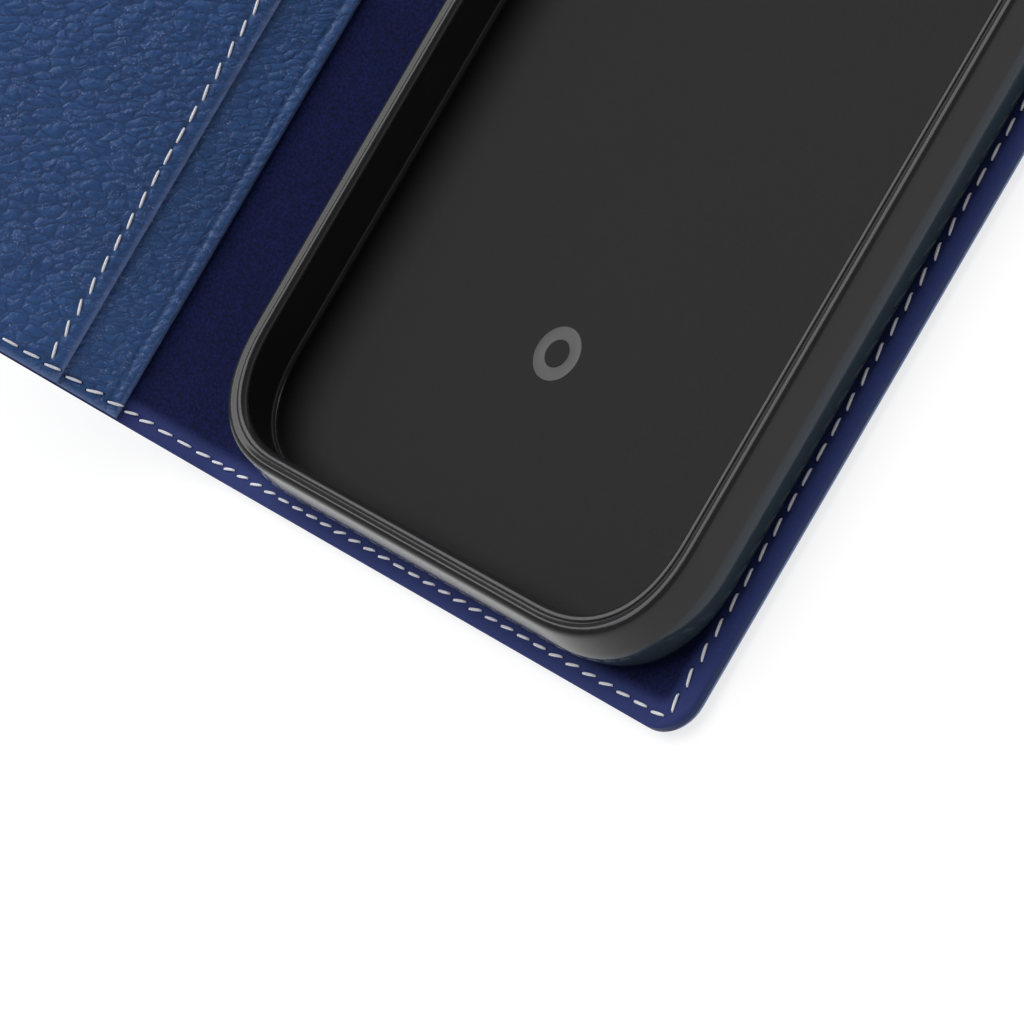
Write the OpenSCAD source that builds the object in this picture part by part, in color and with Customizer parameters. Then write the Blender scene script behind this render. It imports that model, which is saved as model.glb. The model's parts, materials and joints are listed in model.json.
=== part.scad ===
// Leather bookfold phone wallet: a hard phone tray on a padded back cover, a soft spine,
// and a front cover with card pockets. The back cover lies flat, the spine side is -X,
// the phone's top is +Y, and the insides of the covers face +Z. The front cover is shown
// part open: spine_angle and cover_angle tilt the two folds.

/* [Phone] */
// Phone width
phone_w = 77.6; // [64:0.1:94]
// Phone length
phone_l = 160.8; // [134:0.1:194]
// Phone thickness
phone_t = 7.85; // [6.5:0.05:9.5]

/* [Tray] */
// Play between the phone and the tray on each side
phone_play = 0.2; // [0.1:0.05:0.5]
// Tray wall thickness at its fullest height
tray_wall = 2; // [1.6:0.1:2.6]
// Tray floor thickness
tray_floor = 1.4; // [1:0.1:2]
// How far the outer wall leans in from its fullest height up to the rim
tray_lean = 1; // [0.4:0.1:1.4]
// How far the rim's lip reaches in over the phone
lip_reach = 1.5; // [0.6:0.1:1.8]
// Corner size of the lip's inner outline
lip_corner = 14; // [10:0.5:18]

/* [Covers] */
// Outer leather thickness
leather_t = 1.1; // [0.8:0.1:1.6]
// Stiffener board thickness
board_t = 0.8; // [0.5:0.1:1.4]
// Microsuede lining thickness
lining_t = 0.5; // [0.3:0.1:0.9]
// Cover border beyond the tray at the free edge
border_x = 2.25; // [1.8:0.05:5]
// Cover border beyond the tray at the top and bottom edges
border_y = 2.7; // [2.4:0.1:5]
// Radius of the covers' free corners
cover_corner = 5; // [2:0.5:9]
// Width of the raised leather rim round the boards
turn_in = 3.4; // [2.6:0.1:5]
// How far the back cover's outer leather runs on past its board at the fold
leather_toe = 0.9; // [0:0.1:0.9]

/* [Spine] */
// Room between the tray's rim and the pockets when the wallet is closed
closing_room = 0.6; // [0.5:0.1:3]
// Gap between the tray and the first fold's centre line
fold_to_tray = 2.25; // [2:0.05:4]
// Angle that the spine is raised from flat
spine_angle = 23; // [0:1:85]
// Angle that the front cover is raised from the spine
cover_angle = 27; // [0:1:85]

/* [Pockets] */
// Bill pocket leather thickness
bill_t = 0.7; // [0.5:0.05:1]
// Woven card liner thickness
liner_t = 0.15; // [0.1:0.05:0.3]
// Card pocket leather thickness
card_t = 0.62; // [0.5:0.02:0.9]
// Step from the bill pocket's edge to the card pockets' edge
pocket_step = 8.9; // [6:0.1:12]
// Depth of the first card pocket, from the bottom edge of the cover
first_slot = 80; // [60:1:86]
// Rise from one card slot to the next
slot_rise = 15; // [12:1:18]
// Overlap of each card pocket on the one behind it
slot_overlap = 12; // [8:1:14]

/* [Stitching] */
// Stitch pitch along the sides
pitch_y = 3.17; // [2.4:0.01:4]
// Stitch pitch along the top and bottom edges of the back cover and spine
pitch_x = 2.9; // [2.4:0.01:4]
// Stitch pitch along the top and bottom edges of the front cover
pitch_front = 3.12; // [2.4:0.01:4]
// Share of the pitch that each stitch covers
stitch_share = 0.66; // [0.5:0.01:0.8]
// Thread thickness
thread = 0.4; // [0.3:0.05:0.7]
// Stitch line inset from the free edge
inset_x = 2.45; // [1.6:0.05:3]
// Stitch line inset from the top and bottom edges
inset_y = 1.85; // [1.4:0.05:2.4]
// Stitch line inset from the card pockets' edge
pocket_inset = 2.3; // [1.6:0.1:3]

/* [Openings] */
// Width of the camera opening in the tray
camera_w = 42; // [30:0.5:46]
// Length of the camera opening in the tray
camera_l = 44; // [30:0.5:50]
// Corner radius of the camera opening
camera_corner = 10; // [5:0.5:14]
// Camera opening's distance from the phone's side and top
camera_edge = 3.2; // [2.6:0.1:6]
// Extra opening in the layers behind the tray, on each side
camera_play = 0.5; // [0.2:0.1:1.5]
// Height of the button openings
button_h = 4.6; // [4.2:0.1:5]
// Length of the volume button opening
volume_l = 40; // [30:1:46]
// Distance from the phone's top to the volume opening's middle
volume_from_top = 45; // [40:1:60]
// Length of the power button opening
power_l = 26; // [18:1:32]
// Distance from the phone's top to the power opening's middle
power_from_top = 53; // [45:1:62]

/* [Hidden] */

eps = 0.01;
blue = "#244d8c";
navy = "#20246b";
grey_board = "#b9b3a6";
black = "#1b1c1d";
white = "#eeeeec";

// tray: the cavity, the wall's fullest height and the rim, as half sizes from the middle
cavity_hw = phone_w / 2 + phone_play;
cavity_hl = phone_l / 2 + phone_play;
tray_hw = cavity_hw + tray_wall;
tray_hl = cavity_hl + tray_wall;
glue_t = 0.1;
cover_t = leather_t + board_t + lining_t;
tray_z = cover_t + glue_t;
floor_z = tray_z + tray_floor;
rim_z = floor_z + phone_t + 0.05;
lip_h = 1;
floor_fillet = 0.8;
glue_inset = 4;
glue_play = 0.5;
corner_shape = 2.45;
corner_steps = 8;
corner_ease = 0.8;
outline_grid = 1 / 256;
level_t = 0.1;
slot_reach_in = 3;
slot_reach_out = 2;
// the outer wall's profile: [height over the foot, how far short of its fullest width]
foot_profile = [[0, 0.9], [0.4, 0.45], [1.2, 0.15], [2.8, 0], [4.4, 0.05]];
// and [depth below the rim's top, how far short of its fullest width]
rim_profile = [[1.2, 0.8 * tray_lean], [0.4, tray_lean], [level_t, tray_lean + 0.4]];

// covers
back_hw = tray_hw + border_x;
cover_hl = tray_hl + border_y;
fold1_x = -(tray_hw + fold_to_tray);
fold_z = cover_t / 2;
fold_gap = cover_t / 2 + 0.3;
board_play = 0.15;

// pocket stack on the front cover's inside, and the spine that spans tray and pockets
bill_z = cover_t;
liner_z = bill_z + bill_t;
card_z = liner_z + liner_t;
slot_z = card_z + card_t;
stack_t = bill_t + liner_t + 2 * card_t;
spine_w = cover_t + (rim_z - cover_t) + stack_t + closing_room;
front_w = back_hw - fold1_x;
pocket_hem = 0.3;
card_u = fold_gap + pocket_step;
slot_y1 = -cover_hl + first_slot;
slot_y2 = slot_y1 + slot_rise;
slot_y3 = slot_y2 + slot_rise;
ramp_l = 2;
lip_clear = 0.5;

// stitching
stitch_h = 0.2;
stitch_slant = 10;
seat = 0.02;
// where a row starts from a fold's line, so that its first stitch starts just past fold_gap
row_gap = fold_gap - 0.4;

// openings
camera_x = phone_w / 2 - camera_edge - camera_w / 2;
camera_y = phone_l / 2 - camera_edge - camera_l / 2;
button_z = floor_z + phone_t / 2;

// ---- outlines ----

// Nearest multiple of the outline grid
function on_grid(v) = round(v / outline_grid) * outline_grid;

// Rounded rectangle whose corners ease into the sides, as half sizes hw and hl and corner size r
function eased(hw, hl, r) = [
    for (quarter = [0 : 3])
        for (i = [0 : corner_steps])
            let (a = 90 * i / corner_steps,
                 c = pow(abs(cos(a)), 2 / corner_shape),
                 s = pow(abs(sin(a)), 2 / corner_shape),
                 px = (quarter % 2 == 0) ? c : s,
                 py = (quarter % 2 == 0) ? s : c,
                 sx = (quarter == 0 || quarter == 3) ? 1 : -1,
                 sy = (quarter < 2) ? 1 : -1)
                [sx * on_grid(hw - r + r * px), sy * on_grid(hl - r + r * py)]
];

// One thin level of the tray, grown from the lip's inner outline by grow
module level(z, grow) {
    translate([0, 0, z])
        linear_extrude(level_t)
            polygon(eased(cavity_hw - lip_reach + grow, cavity_hl - lip_reach + grow,
                          lip_corner + corner_ease * grow));
}

// Rectangle from x0 to x1 with both corners at the x1 end rounded
module flap(x0, x1, hl, r) {
    w = x1 - x0;
    translate([x0, -hl])
        square([w - r, 2 * hl]);
    translate([x1 - r, -hl + r])
        square([r, 2 * (hl - r)]);
    for (side = [-1, 1])
        translate([x1 - r, side * (hl - r)])
            circle(r, $fn = 48);
}

// Rectangle with four round corners, by half sizes
module round_rect(hw, hl, r) {
    square([2 * (hw - r), 2 * hl], center = true);
    square([2 * hw, 2 * (hl - r)], center = true);
    for (sx = [-1, 1])
        for (sy = [-1, 1])
            translate([sx * (hw - r), sy * (hl - r)])
                circle(r, $fn = 48);
}

module slab(z, t) {
    translate([0, 0, z])
        linear_extrude(t)
            children();
}

module camera_cut(grow) {
    translate([camera_x, camera_y])
        round_rect(camera_w / 2 + grow, camera_l / 2 + grow, camera_corner + grow);
}

// ---- placing: the covers are drawn flat, then tilted about the folds ----

// The spine is drawn from x = 0 toward +X, measured from the first fold
module at_spine() {
    translate([fold1_x, 0, fold_z])
        rotate([0, spine_angle, 0])
            mirror([1, 0, 0])
                translate([0, 0, -fold_z])
                    children();
}

// The front cover is drawn from x = 0 toward +X, measured from the second fold
module at_front() {
    translate([fold1_x, 0, fold_z])
        rotate([0, spine_angle, 0])
            translate([-spine_w, 0, 0])
                rotate([0, cover_angle, 0])
                    mirror([1, 0, 0])
                        translate([0, 0, -fold_z])
                            children();
}

// ---- stitches ----

// One stitch lying on a face, turned to run along the seam. The spine and the front cover are
// drawn mirrored, so their rows take the opposite slant.
module stitch(x, y, z, turn, pitch) {
    translate([x, y, z + seat])
        rotate([0, 0, turn])
            translate([-pitch * stitch_share / 2, -thread / 2, 0])
                cube([pitch * stitch_share, thread, stitch_h]);
}

// Stitches along Y that fill the length between two ends, at x, on a face at height z
module side_row(x, y0, y1, z, slant) {
    count = round((y1 - y0) / pitch_y);
    step = (y1 - y0) / count;
    for (i = [0 : count - 1])
        stitch(x, y0 + (i + 0.5) * step, z, 90 + slant, step);
}

// Stitches along X that fill the length between two ends, at both ends of a cover.
// Each lies on the highest of the faces under it; faces holds [where a face starts, its height].
module end_rows(x0, x1, faces, pitch, slant) {
    count = round((x1 - x0) / pitch);
    step = (x1 - x0) / count;
    for (side = [-1, 1])
        for (i = [0 : count - 1])
            let (x = x0 + (i + 0.5) * step,
                 reached = [for (face = faces) if (x + step * stitch_share / 2 > face[0] - seat) face[1]])
                stitch(x, side * (cover_hl - inset_y), max(reached), slant, step);
}

// ---- cover layers, drawn from the fold (x0) to the free edge (x1) ----

module leather_skin(x0, x1) {
    slab(0, leather_t)
        flap(x0, x1, cover_hl, cover_corner);
    slab(leather_t - eps, board_t + eps)
        difference() {
            flap(x0, x1, cover_hl, cover_corner);
            board_outline(x0, x1, 0);
        }
}

module board_outline(x0, x1, play) {
    translate([x0 - (play > 0 ? 0 : 1), -cover_hl + turn_in + play])
        square([x1 - x0 - turn_in - play + (play > 0 ? 0 : 1), 2 * (cover_hl - turn_in - play)]);
}

// ---- back cover ----

module back_leather() {
    x0 = fold1_x + fold_gap;
    color(blue) {
        difference() {
            leather_skin(x0, back_hw);
            slab(-1, cover_t + 2)
                camera_cut(camera_play);
        }
        slab(0, leather_t)
            translate([x0 - leather_toe, -cover_hl])
                square([leather_toe + eps, 2 * cover_hl]);
    }
}

module back_board() {
    color(grey_board)
        slab(leather_t, board_t)
            difference() {
                board_outline(fold1_x + fold_gap, back_hw, board_play);
                camera_cut(camera_play);
            }
}

module back_lining() {
    color(navy)
        slab(leather_t + board_t, lining_t)
            difference() {
                flap(fold1_x + fold_gap, back_hw, cover_hl, cover_corner);
                camera_cut(camera_play);
            }
}

module tray_adhesive() {
    color(white)
        slab(cover_t, glue_t)
            difference() {
                round_rect(cavity_hw - glue_inset, cavity_hl - glue_inset, lip_corner);
                camera_cut(camera_play + glue_play);
            }
}

// Full outer form of the tray: rounded foot, fullest at mid height, leaning in to the rim
module tray_outer() {
    full = lip_reach + tray_wall;
    hull() {
        for (step = foot_profile)
            level(tray_z + step[0], full - step[1]);
        for (step = rim_profile)
            level(rim_z - step[0], full - step[1]);
    }
}

// Room for the phone: filleted at the floor, straight walls, then the lip
module tray_cavity() {
    hull() {
        level(floor_z, lip_reach - floor_fillet);
        level(floor_z + floor_fillet, lip_reach);
        level(rim_z - lip_h, lip_reach);
        level(rim_z - 0.3, 0);
    }
    hull() {
        level(rim_z - 0.8, -0.25);
        level(rim_z + 0.05, 0.3);
    }
}

// Slot through a side wall, with round ends
module side_slot(y, length, side) {
    run = length / 2 - button_h / 2;
    translate([side * (cavity_hw - slot_reach_in), y, button_z])
        rotate([0, side * 90, 0])
            linear_extrude(slot_reach_in + tray_wall + slot_reach_out) {
                square([button_h, 2 * run], center = true);
                for (end = [-1, 1])
                    translate([0, end * run])
                        circle(button_h / 2, $fn = 32);
            }
}

module phone_tray() {
    color(black)
        difference() {
            tray_outer();
            tray_cavity();
            slab(tray_z - 1, tray_floor + 2)
                camera_cut(0);
            side_slot(cavity_hl - volume_from_top, volume_l, -1);
            side_slot(cavity_hl - power_from_top, power_l, 1);
        }
}

module back_stitching() {
    color(white) {
        side_row(back_hw - inset_x, -cover_hl + inset_y + thread, cover_hl - inset_y - thread, cover_t,
                 stitch_slant);
        end_rows(fold1_x + row_gap, back_hw - inset_x, [[fold1_x, cover_t]], pitch_x, stitch_slant);
    }
}

// ---- spine ----

module spine_strip(z, t, hl) {
    slab(z, t)
        translate([fold_gap, -hl])
            square([spine_w - 2 * fold_gap, 2 * hl]);
}

module spine_leather() {
    color(blue)
        at_spine() {
            spine_strip(0, leather_t, cover_hl);
            for (side = [-1, 1])
                slab(leather_t - eps, board_t + eps)
                    translate([fold_gap, side * (cover_hl - turn_in / 2) - turn_in / 2])
                        square([spine_w - 2 * fold_gap, turn_in]);
        }
}

module spine_interliner() {
    color(grey_board)
        at_spine()
            spine_strip(leather_t, board_t, cover_hl - turn_in - board_play);
}

module spine_lining() {
    color(navy)
        at_spine()
            spine_strip(leather_t + board_t, lining_t, cover_hl);
}

module spine_stitching() {
    color(white)
        at_spine()
            end_rows(row_gap, spine_w - row_gap, [[0, cover_t]], pitch_x, -stitch_slant);
}

// ---- front cover ----

module front_leather() {
    color(blue)
        at_front()
            leather_skin(fold_gap, front_w);
}

module front_board() {
    color(grey_board)
        at_front()
            slab(leather_t, board_t)
                board_outline(fold_gap, front_w, board_play);
}

module front_lining() {
    color(navy)
        at_front()
            slab(leather_t + board_t, lining_t)
                flap(fold_gap, front_w, cover_hl, cover_corner);
}

module bill_pocket() {
    color(blue)
        at_front()
            slab(bill_z, bill_t)
                flap(fold_gap, front_w - pocket_hem, cover_hl - pocket_hem, cover_corner - pocket_hem);
}

module card_liner() {
    color(grey_board)
        at_front()
            slab(liner_z, liner_t)
                flap(card_u, front_w - pocket_hem, cover_hl - pocket_hem, cover_corner - pocket_hem);
}

// Keeps the part of the card pockets' outline that lies between y0 and y1
module card_area(y0, y1) {
    intersection() {
        flap(card_u, front_w - pocket_hem, cover_hl - pocket_hem, cover_corner - pocket_hem);
        translate([0, y0])
            square([front_w, y1 - y0]);
    }
}

// A card pocket: its lower part lies low, and its lip lies over the piece above it
module card_pocket(y_low, y_lip) {
    y_jog = y_lip - slot_overlap;
    intersection() {
        slab(card_z, 2 * card_t)
            card_area(y_low, y_lip);
        translate([card_u - 1, 0, 0])
            rotate([90, 0, 90])
                linear_extrude(front_w)
                    polygon([
                        [y_low - 1, card_z - 1],
                        [y_jog, card_z - 1],
                        [y_jog, slot_z],
                        [y_lip + 1, slot_z],
                        [y_lip + 1, slot_z + card_t],
                        [y_jog, slot_z + card_t],
                        [y_jog - ramp_l, slot_z],
                        [y_low - 1, slot_z]
                    ]);
    }
}

module card_panel() {
    color(blue)
        at_front()
            slab(card_z, card_t)
                card_area(slot_y3 - slot_overlap, cover_hl);
}

module card_pocket_rear() {
    color(blue)
        at_front()
            card_pocket(slot_y2 - slot_overlap, slot_y3);
}

module card_pocket_middle() {
    color(blue)
        at_front()
            card_pocket(slot_y1 - slot_overlap, slot_y2);
}

module card_pocket_front() {
    color(blue)
        at_front()
            card_pocket(-cover_hl, slot_y1);
}

// Seam along the front cover at x, stepping up where a pocket lip is
module stepped_seam(x) {
    side_row(x, -cover_hl + inset_y + thread, slot_y1 - slot_overlap - ramp_l - lip_clear, slot_z,
             -stitch_slant);
    for (lip = [slot_y1, slot_y2, slot_y3])
        side_row(x, lip - slot_overlap + lip_clear, lip - lip_clear, slot_z + card_t, -stitch_slant);
    side_row(x, slot_y3 + lip_clear, cover_hl - inset_y - thread, slot_z, -stitch_slant);
}

module pocket_stitching() {
    color(white)
        at_front()
            stepped_seam(card_u + pocket_inset);
}

module front_stitching() {
    x = front_w - inset_x;
    color(white)
        at_front() {
            end_rows(row_gap, x, [[0, cover_t], [fold_gap, liner_z], [card_u, slot_z]], pitch_front,
                     -stitch_slant);
            stepped_seam(x);
        }
}

back_leather();
back_board();
back_lining();
tray_adhesive();
phone_tray();
back_stitching();
spine_leather();
spine_interliner();
spine_lining();
spine_stitching();
front_leather();
front_board();
front_lining();
bill_pocket();
card_liner();
card_panel();
card_pocket_rear();
card_pocket_middle();
card_pocket_front();
pocket_stitching();
front_stitching();
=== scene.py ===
"""Looks of a leather bookfold phone wallet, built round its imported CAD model."""

import json
import math

import bmesh
import bpy
import numpy as np
from bpy.props import FloatProperty, FloatVectorProperty, PointerProperty
from mathutils import Matrix, Vector


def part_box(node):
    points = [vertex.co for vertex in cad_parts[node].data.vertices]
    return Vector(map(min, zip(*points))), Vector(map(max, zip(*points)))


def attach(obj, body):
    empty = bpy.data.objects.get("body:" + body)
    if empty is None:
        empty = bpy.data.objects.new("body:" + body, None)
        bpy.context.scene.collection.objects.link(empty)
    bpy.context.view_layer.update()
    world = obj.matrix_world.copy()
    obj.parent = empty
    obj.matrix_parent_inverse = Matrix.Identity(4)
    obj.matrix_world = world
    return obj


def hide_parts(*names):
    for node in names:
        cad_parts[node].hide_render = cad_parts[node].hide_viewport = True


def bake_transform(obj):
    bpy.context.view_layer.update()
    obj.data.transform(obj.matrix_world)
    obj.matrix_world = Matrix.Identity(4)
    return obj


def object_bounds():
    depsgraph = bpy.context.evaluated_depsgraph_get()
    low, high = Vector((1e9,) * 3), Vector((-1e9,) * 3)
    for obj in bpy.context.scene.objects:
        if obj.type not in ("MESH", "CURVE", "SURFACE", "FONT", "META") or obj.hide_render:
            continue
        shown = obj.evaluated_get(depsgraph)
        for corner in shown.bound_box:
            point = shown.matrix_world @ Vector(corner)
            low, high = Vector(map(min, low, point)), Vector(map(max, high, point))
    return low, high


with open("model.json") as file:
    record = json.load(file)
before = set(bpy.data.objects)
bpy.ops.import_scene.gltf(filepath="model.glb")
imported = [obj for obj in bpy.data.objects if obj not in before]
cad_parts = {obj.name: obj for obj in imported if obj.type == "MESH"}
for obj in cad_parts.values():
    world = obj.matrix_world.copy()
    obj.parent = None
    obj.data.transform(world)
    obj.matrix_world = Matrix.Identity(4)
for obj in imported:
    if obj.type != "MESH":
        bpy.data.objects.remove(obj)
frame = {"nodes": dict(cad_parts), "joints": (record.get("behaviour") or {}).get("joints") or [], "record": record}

bl_info = {
    "name": "Bookfold Phone Wallet", "version": (1, 0, 0), "blender": (4, 5, 0),
    "location": "3D View > Sidebar > Wallet",
    "description": "Builds the leather, suede, stitching and tray of a bookfold phone wallet",
    "category": "Add Mesh"
}

CAD_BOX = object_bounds()
MM = 0.001
FLOOR_HALF = 1.6
FLOOR_GAP = 0.0002
FLOOR_GLOW = 0.76

# ---- places, in millimetres ----
# Flat places are (s, y, z): s runs along the covers' cross-section from the back cover's fold
# toward the front cover, y along the fold, and z up from the outer leather's outer face.


def mm_box(node):
    """Lowest and highest corner of a CAD node in millimetres."""
    low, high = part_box(node)
    return np.array(low) / MM, np.array(high) / MM


def mesh_points(node):
    """A CAD node's vertices in millimetres."""
    return np.array([v.co for v in frame["nodes"][node].data.vertices], float) / MM


def joint_place(name):
    """A joint's place in millimetres."""
    found = [j for j in frame["joints"] if j["name"] == name]
    return np.array(found[0]["pos_m"], float) / MM


def slab_tilt(node):
    """How far a slab leans up from flat, in radians."""
    across = mesh_points(node)[:, [0, 2]]
    spread, directions = np.linalg.eigh(np.cov(across.T))
    along = directions[:, int(np.argmax(spread))]
    return math.atan2(abs(along[1]), abs(along[0]))


FOLD_1 = joint_place("spine_fold")
FOLD_2 = joint_place("cover_fold")
SPINE_W = float(np.linalg.norm(FOLD_2 - FOLD_1))
SPINE_TILT = math.atan2(FOLD_2[2] - FOLD_1[2], FOLD_1[0] - FOLD_2[0])
FRONT_TILT = slab_tilt("front_lining")
MID_Z = float(FOLD_1[2])

# where each body's flat places start: a point of the row frame, its tilt and its s
SPANS = {
    "back_cover": (FOLD_1, 0.0, 0.0), "spine": (FOLD_1, SPINE_TILT, 0.0),
    "front_cover": (FOLD_2, FRONT_TILT, SPINE_W)
}


def directions(tilt):
    """Along the cover and out of its inside face, for a tilt."""
    along = np.array([-math.cos(tilt), 0.0, math.sin(tilt)])
    out = np.array([math.sin(tilt), 0.0, math.cos(tilt)])
    return along, out


def flatten(points, body):
    """Row frame to flat places, for points of one body."""
    origin, tilt, start = SPANS[body]
    along, out = directions(tilt)
    rel = points - origin
    return np.column_stack([start + rel @ along, points[:, 1], MID_Z + rel @ out])


def flat_box(node, body):
    """Lowest and highest flat place of a CAD node."""
    flat = flatten(mesh_points(node), body)
    return flat.min(0), flat.max(0)


def lay(flat, bend):
    """Flat places to the row frame, bending smoothly within bend of each fold."""
    s, y, z = flat[:, 0], flat[:, 1], flat[:, 2]
    w = z - MID_Z
    where = np.zeros((len(s), 3))
    tilt = np.zeros(len(s))
    for body, (origin, lean, start) in SPANS.items():
        near = {"back_cover": s < 0, "spine": (s >= 0) & (s < SPINE_W), "front_cover": s >= SPINE_W}[body]
        along, _ = directions(lean)
        where[near] = origin + np.outer(s[near] - start, along)
        tilt[near] = lean
    for fold, centre, before, after in (
        (FOLD_1, 0.0, 0.0, SPINE_TILT), (FOLD_2, SPINE_W, SPINE_TILT, FRONT_TILT)
    ):
        near = np.abs(s - centre) < bend
        along, out = directions(before)
        radius = bend / math.tan((after - before) / 2)
        middle = fold - bend * along + radius * out
        turn = before + (s[near] - centre + bend) / (2 * bend) * (after - before)
        outward = np.column_stack([np.sin(turn), np.zeros(len(turn)), np.cos(turn)])
        where[near] = middle - radius * outward
        tilt[near] = turn
    outward = np.column_stack([np.sin(tilt), np.zeros(len(s)), np.cos(tilt)])
    placed = where + w[:, None] * outward
    placed[:, 1] = y
    return placed


BACK_LINING = flat_box("back_lining", "back_cover")
FRONT_LINING = flat_box("front_lining", "front_cover")
BACK_BOARD = flat_box("back_board", "back_cover")
BILL = flat_box("bill_pocket", "front_cover")
PANEL = flat_box("card_panel", "front_cover")
LIPS = {
    "card_pocket_rear": flat_box("card_pocket_rear", "front_cover"),
    "card_pocket_middle": flat_box("card_pocket_middle", "front_cover"),
    "card_pocket_front": flat_box("card_pocket_front", "front_cover")
}
HALF_L = float(BACK_LINING[1][1])
BACK_FREE = float(BACK_LINING[0][0])
FRONT_FREE = float(FRONT_LINING[1][0])
LEATHER_T = float(BACK_BOARD[0][2])
RIM_T = float(BACK_BOARD[1][2])
COVER_T = float(BACK_LINING[1][2])
BOARD_PLAY = 0.15
RIM_IN = HALF_L - float(BACK_BOARD[1][1]) - BOARD_PLAY
SPINE_MID = SPINE_W / 2
CARD_T = float(PANEL[1][2] - PANEL[0][2])
COVER_CORNER = 5.0
HEM_CORNER = 4.7
SEAT = 0.01

TRAY_BOX = mm_box("phone_tray")
TRAY_HALF = TRAY_BOX[1][:2]
TRAY_FOOT = float(TRAY_BOX[0][2])
TRAY_RIM = float(TRAY_BOX[1][2])
TRAY_FLOOR = float(frame["record"]["mounts"][1]["pos_m"][2]) / MM
TRAY_WALL = 2.0
LIP_REACH = 1.5
LIP_CORNER = 14.0
CORNER_POWER = 2.45

# tray openings: middle, length and height, as the CAD tray has them
CAMERA_MIDDLE = (14.6, 55.2)
CAMERA_HALF = (21.0, 22.0)
CAMERA_CORNER = 10.0
CAMERA_PLAY = 0.5
BUTTON_Z = 7.825
VOLUME_SLOT = (35.6, 40.0, 4.6)
POWER_SLOT = (27.6, 26.0, 4.6)


def linear(hex_colour):
    """An sRGB hex colour as linear red, green and blue."""
    values = [int(hex_colour[i : i + 2], 16) / 255 for i in (1, 3, 5)]
    return [v / 12.92 if v <= 0.04045 else ((v + 0.055) / 1.055) ** 2.4 for v in values]


# ---- what a user can change ----


def colour(name, text, default):
    """A colour setting."""
    return FloatVectorProperty(
        name=name, description=text, subtype="COLOR", size=3, min=0.0, max=1.0, default=linear(default)
    )


def length(name, text, default_mm, low_mm, high_mm):
    """A length setting, given in millimetres and kept in metres."""
    return FloatProperty(
        name=name, description=text, unit="LENGTH", precision=5, default=default_mm * MM, min=low_mm * MM,
        max=high_mm * MM
    )


class WalletColours(bpy.types.PropertyGroup):
    leather: colour("Leather", "Dyed face of the leather", "#20487e")
    # painted shade: this darker colour is put in the grain's creases, as shade
    leather_low: colour("Leather valleys", "Dye that gathers in the grain's valleys", "#0d2858")
    # painted highlight: this lighter colour is put on the grain's crests and on the rounded edges
    leather_highlight: colour("Leather crests", "Grain crests where wax and wear lighten the dye", "#8494c4")
    suede: colour("Suede", "Brushed face of the microsuede", "#101b4e")
    suede_low: colour("Suede shade", "Suede where the nap lies away", "#050a26")
    # painted sheen: this lighter colour is put on the suede's border
    suede_border_sheen: colour("Pressed suede", "Suede pressed flat at the border", "#2e3970")
    edge_paint: colour("Edge paint", "Paint on the cut edges", "#16244c")
    thread: colour("Thread", "Bonded thread", "#f6f5fa")
    # painted shade: this dark colour fills the ovals at the needle holes, as their shadow
    needle_hole_shade: colour("Needle hole", "Shade inside the needle holes", "#0b1230")
    tray: colour("Tray", "Polished walls of the tray", "#252525")
    # painted reflection: this blue-grey on the tray's lower outer wall stands in for the blue lining reflected in
    # it
    tray_foot_reflection: colour(
        "Tray foot", "Tint of the tray's foot, where the blue lining shows through", "#29333b"
    )
    tray_floor: colour("Tray floor", "Textured floor of the tray", "#131313")
    mark: colour("Ring mark", "Pad-printed ring on the tray floor", "#1e1e1d")
    board: colour("Board", "Grey board inside the covers", "#b3ada0")
    liner: colour("Liner", "Woven liner of the card pockets", "#3a4668")
    adhesive: colour("Adhesive", "Clear tape under the tray", "#d8d8d2")
    floor: colour("Floor", "Studio floor", "#8f8f8f")


class WalletSizes(bpy.types.PropertyGroup):
    bend: length("Fold softness", "Half the width of each fold's bend", 2.2, 1.5, 4.0)
    thread: length("Thread", "Thread thickness", 0.4, 0.3, 0.7)
    twist: length("Thread twist", "Length of one turn of the thread's twist", 1.3, 0.6, 3.0)
    seam_dip: length("Seam dip", "How deep the seams press into the face", 0.16, 0.0, 0.3)
    pebble: length("Pebble", "Width of the leather's pebbles", 1.15, 0.5, 3.0)
    edge_round: length("Edge rounding", "Width of the pressed, rounded border", 1.1, 0.5, 3.0)
    edge_drop: length("Edge drop", "How far the rounded border drops", 0.4, 0.0, 0.6)
    crease_in: length("Crease inset", "From the bill pocket's edge to its pressed crease", 1.9, 1.0, 4.0)
    ring: length("Ring mark", "Outside diameter of the ring on the tray floor", 7.0, 3.0, 12.0)
    ring_from_edge: length(
        "Ring place", "From the cover's bottom edge to the ring's middle", 32.8, 20.0, 80.0
    )


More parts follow.
